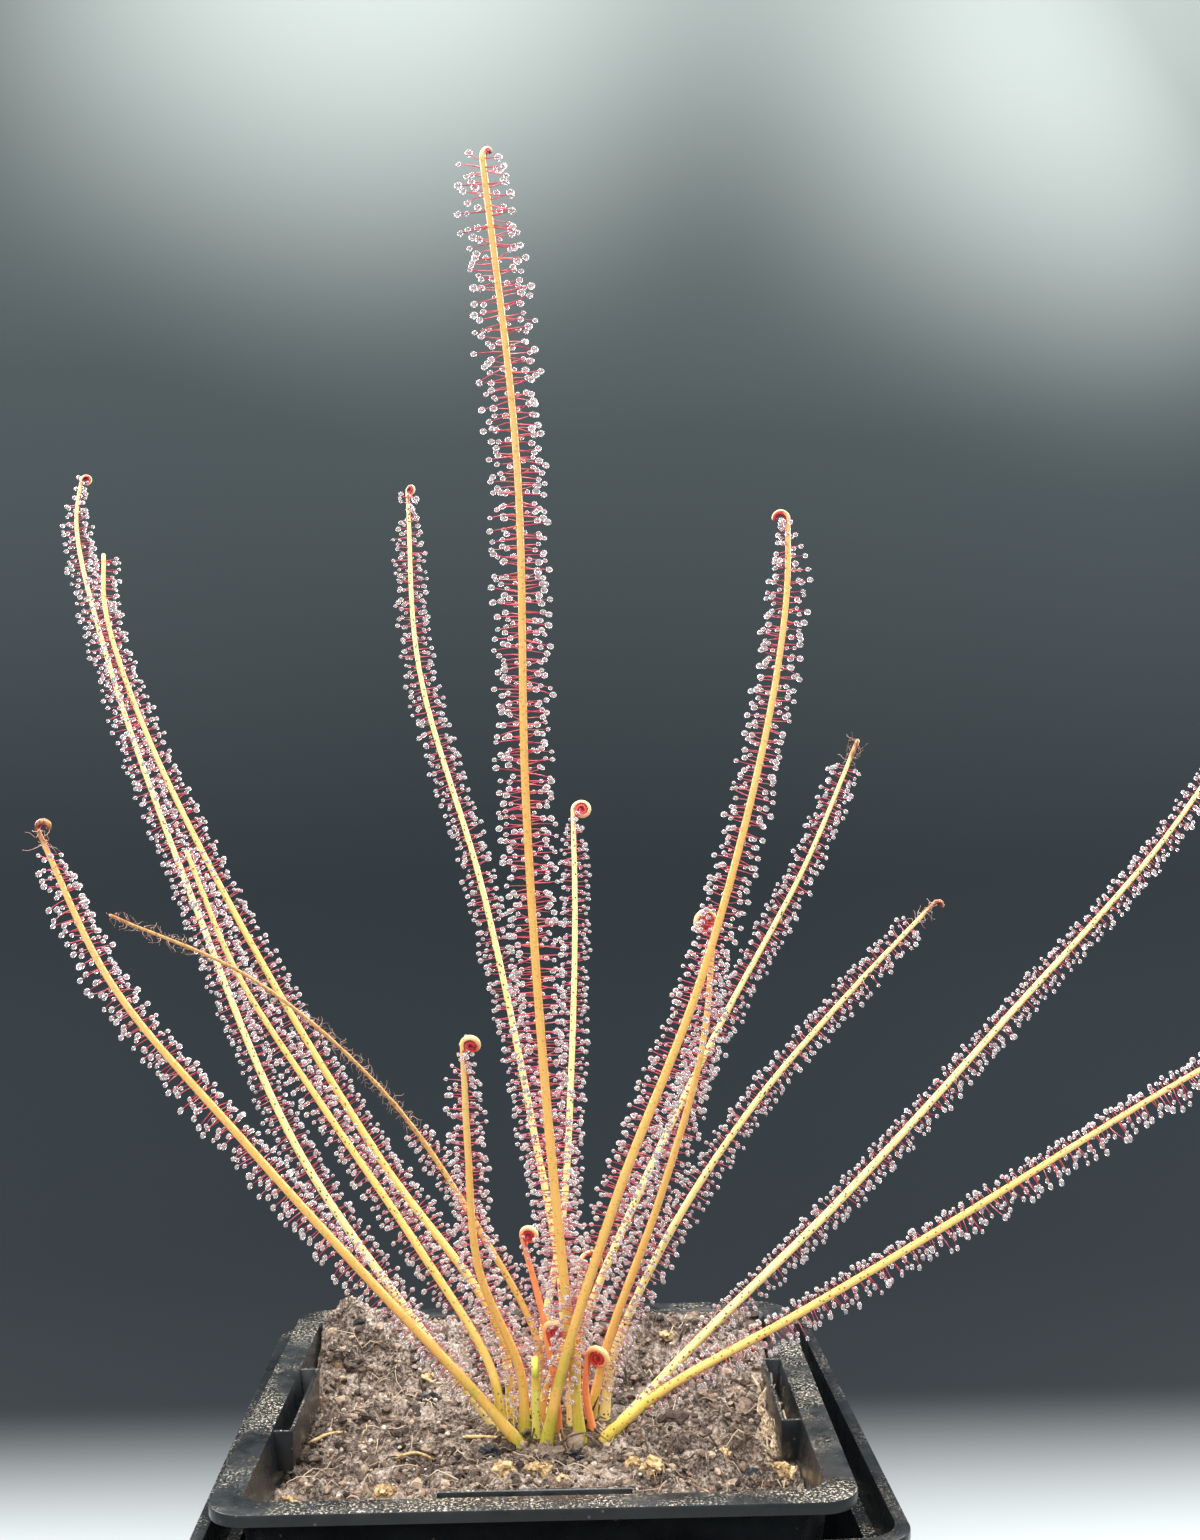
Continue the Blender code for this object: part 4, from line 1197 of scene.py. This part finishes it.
def makeGrit():
    rng = random.Random(17)
    grain = ballTemplate("grain", 6, 4)
    half = soil["gritHalf"]

    def addGrain(batch):
        x = innerPot["place"].x + rng.uniform(-half, half) * mm
        y = innerPot["place"].y + rng.uniform(-half, half) * mm
        radius = (0.17 + 0.36 * rng.random() ** 2) * mm
        place = Matrix.Translation((x, y, soilRise(x, y) + 0.45 * mm + radius * 0.3))
        stamp(batch, grain, place @ stretch(radius, radius * rng.uniform(0.8, 1.0), radius * 0.8))

    pale = chipMaterial("pale_grit", (0.28, 0.22, 0.16), (0.52, 0.45, 0.36), (0.80, 0.76, 0.68))
    addPiece("soil_grit", gather(soil["grains"], addGrain), pale, "soil")


def makeClump():
    # Tan fibres and chips heaped over the inner wall of the right-hand lug.
    rng = random.Random(23)

    def addStrand(batch):
        x, y = rng.uniform(*topping["clumpX"]) * mm, rng.uniform(*topping["clumpY"]) * mm
        low = soilRise(x, y, fine=False) + rng.uniform(-0.5, 3.0) * mm
        lean = Vector((rng.uniform(-1.2, 0.9), rng.uniform(-2.4, 2.4), rng.uniform(0.6, 2.6))) * mm
        side = Vector((rng.uniform(-0.8, 0.8), rng.uniform(-0.8, 0.8), 0)) * mm
        start = Vector((x, y, low))
        end = start + lean
        if end.z < topping["clumpTop"]:
            strand(batch, [start, start + lean * 0.5 + side, end], rng.uniform(0.14, 0.42) * mm, sides=4,
                   shade=rng.uniform(0.66, 1.05))

    bm = gather(topping["clumpStrands"], addStrand)
    addPiece("soil_tan_clump", bm, litterMaterial(), "soil", smooth=False)


def makeStraws():
    bm = bmesh.new()
    for line in topping["straws"]:
        points = [Vector((x * mm, y * mm, soilRise(x * mm, y * mm, fine=False) + z * mm))
                  for x, y, z in line]
        strand(bm, smoothPath(points, 1.2 * mm), topping["strawRadius"], sides=6, shade=0.5)
    straw = chipMaterial("pale_straw", (0.30, 0.18, 0.07), (0.58, 0.40, 0.18), (0.74, 0.60, 0.34))
    addPiece("soil_straws", bm, straw, "soil")


def makeCrown():
    bm = bmesh.new()
    middle = crown["centre"] - up * crownLook["sunk"]
    half = crownLook["half"]
    for vert in bmesh.ops.create_uvsphere(bm, u_segments=72, v_segments=36, radius=1.0)["verts"]:
        bulge = 1 + 0.10 * noise.noise(vert.co * 6) + 0.08 * noise.noise(vert.co * 15)
        vert.co = middle + Vector(a * b for a, b in zip(vert.co, half)) * bulge
    bark = chipMaterial("crown_fibre", (0.012, 0.008, 0.005), (0.07, 0.045, 0.025), (0.24, 0.16, 0.07))
    addPiece("crown_rootstock", bm, bark, "crown", "crown")
    makeRoots()


def makeRoots():
    # Old leaf bases and dry roots round the feet of the leaves.
    rng = random.Random(64)
    feet = [plantPoint(leaf["path"][0]) for leaf in leaves.values()]

    def addRoot(batch):
        foot = rng.choice(feet)
        angle = rng.uniform(0, math.tau)
        way = Vector((math.cos(angle), math.sin(angle), 0))
        long = rng.uniform(1.2, 3.8) * mm
        start = foot + way * 0.7 * mm + up * rng.uniform(0.0, 1.6) * mm
        end = start + way * long - up * rng.uniform(0.2, 1.6) * mm
        bow = (start + end) / 2 + up * rng.uniform(0.2, 0.9) * mm
        strand(batch, [start, bow, end], rng.uniform(0.10, 0.34) * mm, sides=4, shade=rng.uniform(0.1, 0.75))

    bm = gather(crownLook["roots"], addRoot)
    for key, radius, shade in (("stub", 0.42, 0.02), ("arch", 0.2, 0.3)):
        points = [Vector(point) * mm for point in crownLook[key]]
        strand(bm, smoothPath(points, 0.8 * mm), radius * mm, sides=6, taper=0.75, shade=shade)
    bulb = bmesh.ops.create_uvsphere(bm, u_segments=14, v_segments=10, radius=1.4 * mm)["verts"]
    setShade(bm, bulb, 0.6)
    for vert in bulb:
        vert.co.z *= 1.25
        vert.co += Vector(crownLook["bulb"]) * mm
    addPiece("crown_dry_roots", bm, litterMaterial(), "crown")


makePumice()
makeGrit()
makeClump()
makeStraws()
makeCrown()
print("crown and litter made")


# Camera, light, floor and backdrop

view = {
    "place": Vector((5.0 * mm, -285.0 * mm, 189.1 * mm)),
    "yaw": -1.05, "pitch": 0.13, "roll": 0.87,
    "lens": 51.9, "sensor": 36.0,
}


def makeCamera():
    camera = bpy.data.cameras.new("camera")
    camera.sensor_fit = "HORIZONTAL"
    camera.sensor_width = view["sensor"]
    camera.lens = view["lens"]
    camera.clip_start = 0.01
    holder = bpy.data.objects.new("camera", camera)
    bpy.context.scene.collection.objects.link(holder)
    turns = (Matrix.Rotation(math.radians(view[key]), 3, axis)
             for key, axis in (("yaw", "Z"), ("pitch", "X"), ("roll", "Y")))
    yaw, pitch, roll = turns
    right, ahead, above = (yaw @ pitch @ roll).col
    look = Matrix((right, above, -ahead)).transposed().to_4x4()
    holder.matrix_world = Matrix.Translation(view["place"]) @ look
    bpy.context.scene.camera = holder
    bpy.context.scene.view_settings.view_transform = "Standard"


studio = {
    "floorHalf": 1.1,
    "floorFront": -1.1,
    "coveAt": 0.48,
    "coveRadius": 0.14,
    "coveSteps": 8,
    "wallTop": 1.4,
    # The floor in front of and round the pot is painted darker than behind it: painted shade that holds down
    # the lamps' light there
    "nearTones": ((0.165, 0.172, 0.176), (0.20, 0.208, 0.212)),    # the floor round the pot
    "farTones": ((0.31, 0.335, 0.345), (0.37, 0.395, 0.405)),
    # the backdrop's colour from its foot to its top, lighter upwards: painted light
    "wallTones": [(0.0, (0.0045, 0.0075, 0.010)), (0.3, (0.0085, 0.0130, 0.0165)),
                  (0.6, (0.021, 0.028, 0.031)), (0.8, (0.052, 0.063, 0.064)), (1.0, (0.105, 0.122, 0.120))],
    # soft patches of light on the backdrop: x, z, reach and strength
    "glows": ((0.27, 0.56, 0.27, 0.72), (-0.08, 0.60, 0.27, 0.62)),
    "glowTone": (0.40, 0.445, 0.435),
    "air": (0.80, 0.88, 0.95),
    "airStrength": 0.75,
    # each light: place, aim, width, height, watts, colour
    "lights": {
        "top": ((0.0, -0.02, 0.8), (0, 0, 0.1), 0.45, 0.35, 9.0, (1.0, 0.98, 0.94)),
        "backLeft": ((-0.45, 0.28, 0.42), (0, 0, 0.15), 0.25, 0.5, 6.0, (1.0, 0.99, 0.97)),
        "backRight": ((0.45, 0.28, 0.42), (0, 0, 0.15), 0.25, 0.5, 6.0, (1.0, 0.99, 0.97)),
        "front": ((-0.15, -0.75, 0.6), (0, 0, 0.12), 0.5, 0.4, 7.0, (1.0, 0.96, 0.90)),
    },
}


def makeStage():
    # One sheet: a pale floor that runs through a cove into a slate backdrop.
    bm = bmesh.new()
    half, cove, radius, steps = (studio[key] for key in ("floorHalf", "coveAt", "coveRadius", "coveSteps"))
    profile = [(studio["floorFront"], 0.0), (-0.3, 0.0), (0.0, 0.0), (cove - radius, 0.0)]
    for step in range(1, steps + 1):
        angle = math.radians(90) * step / steps
        profile.append((cove - radius + radius * math.sin(angle), radius - radius * math.cos(angle)))
    profile.append((cove, studio["wallTop"]))
    verts = [bm.verts.new((-half, y, z)) for y, z in profile]
    edges = [bm.edges.new(pair) for pair in zip(verts, verts[1:])]
    moved = vertsIn(bmesh.ops.extrude_edge_only(bm, edges=edges)["geom"])
    bmesh.ops.translate(bm, vec=(2 * half, 0, 0), verts=moved)
    bmesh.ops.recalc_face_normals(bm, faces=bm.faces)
    if min(face.normal.z for face in bm.faces) < -0.5:
        bmesh.ops.reverse_faces(bm, faces=bm.faces)
    mesh = toMesh("studio_sweep", bm)
    mesh.shade_smooth()
    mesh.materials.append(sweepMaterial())
    sweep = bpy.data.objects.new("studio_sweep", mesh)
    bpy.context.scene.collection.objects.link(sweep)


def sweepMaterial():
    material, tree, shader = newMaterial("sweep_paper", 0.9, Specular_IOR_Level=0.2)
    point = objectPoint(tree)
    split = addNode(tree, "SeparateXYZ", {"Vector": point}).outputs
    haze = remap(tree, noiseOf(tree, point, 2.2, 2.0), 0.3, 0.7, -0.05, 0.05)
    # Painted light: the backdrop grows lighter towards its top
    wall = ramp(tree, plus(tree, remap(tree, split["Z"], 0.0, 0.60), haze), studio["wallTones"])
    for x, z, reach, strength in studio["glows"]:
        places = {0: point, 1: (x, studio["coveAt"], z)}
        away = addNode(tree, "VectorMath", places, operation="DISTANCE").outputs["Value"]
        glow = remap(tree, away, 0.0, reach, strength, 0.0, "SMOOTHERSTEP")
        wall = mixColour(tree, glow, wall, studio["glowTone"])
    grain = noiseOf(tree, point, 3.0, 2.0)
    near, far = (ramp(tree, grain, list(zip((0.3, 0.7), studio[key]))) for key in ("nearTones", "farTones"))
    # Painted shade: the floor is darker in front of and round the pot, paler behind it
    floor = mixColour(tree, remap(tree, split["Y"], 0.03, 0.13), near, far)
    wallward = remap(tree, split["Y"], 0.09, 0.245, curve="SMOOTHSTEP")
    tree.links.new(mixColour(tree, wallward, floor, wall), shader.inputs["Base Color"])
    # The sweep is clear from its back, so that it doesn't hide the plant from behind
    back = addNode(tree, "NewGeometry").outputs["Backfacing"]
    clear = addNode(tree, "BsdfTransparent").outputs["BSDF"]
    both = addNode(tree, "MixShader", {0: back, 1: shader.outputs["BSDF"], 2: clear})
    tree.links.new(both.outputs["Shader"], tree.nodes["Material Output"].inputs["Surface"])
    return material


def makeLights():
    for name, (place, aim, width, height, watts, colour) in studio["lights"].items():
        lamp = bpy.data.lights.new(name, "AREA")
        lamp.shape = "RECTANGLE"
        lamp.size, lamp.size_y = width, height
        lamp.energy = watts
        lamp.color = colour
        holder = bpy.data.objects.new(name, lamp)
        bpy.context.scene.collection.objects.link(holder)
        holder.location = place
        holder.rotation_euler = (Vector(place) - Vector(aim)).to_track_quat("Z", "Y").to_euler()
    world = bpy.data.worlds.new("studio_air")
    bpy.context.scene.world = world
    world.use_nodes = True
    air = world.node_tree.nodes["Background"].inputs
    air["Color"].default_value = (*studio["air"], 1.0)
    air["Strength"].default_value = studio["airStrength"]


makeCamera()
makeStage()
makeLights()
print("camera, light and stage made")
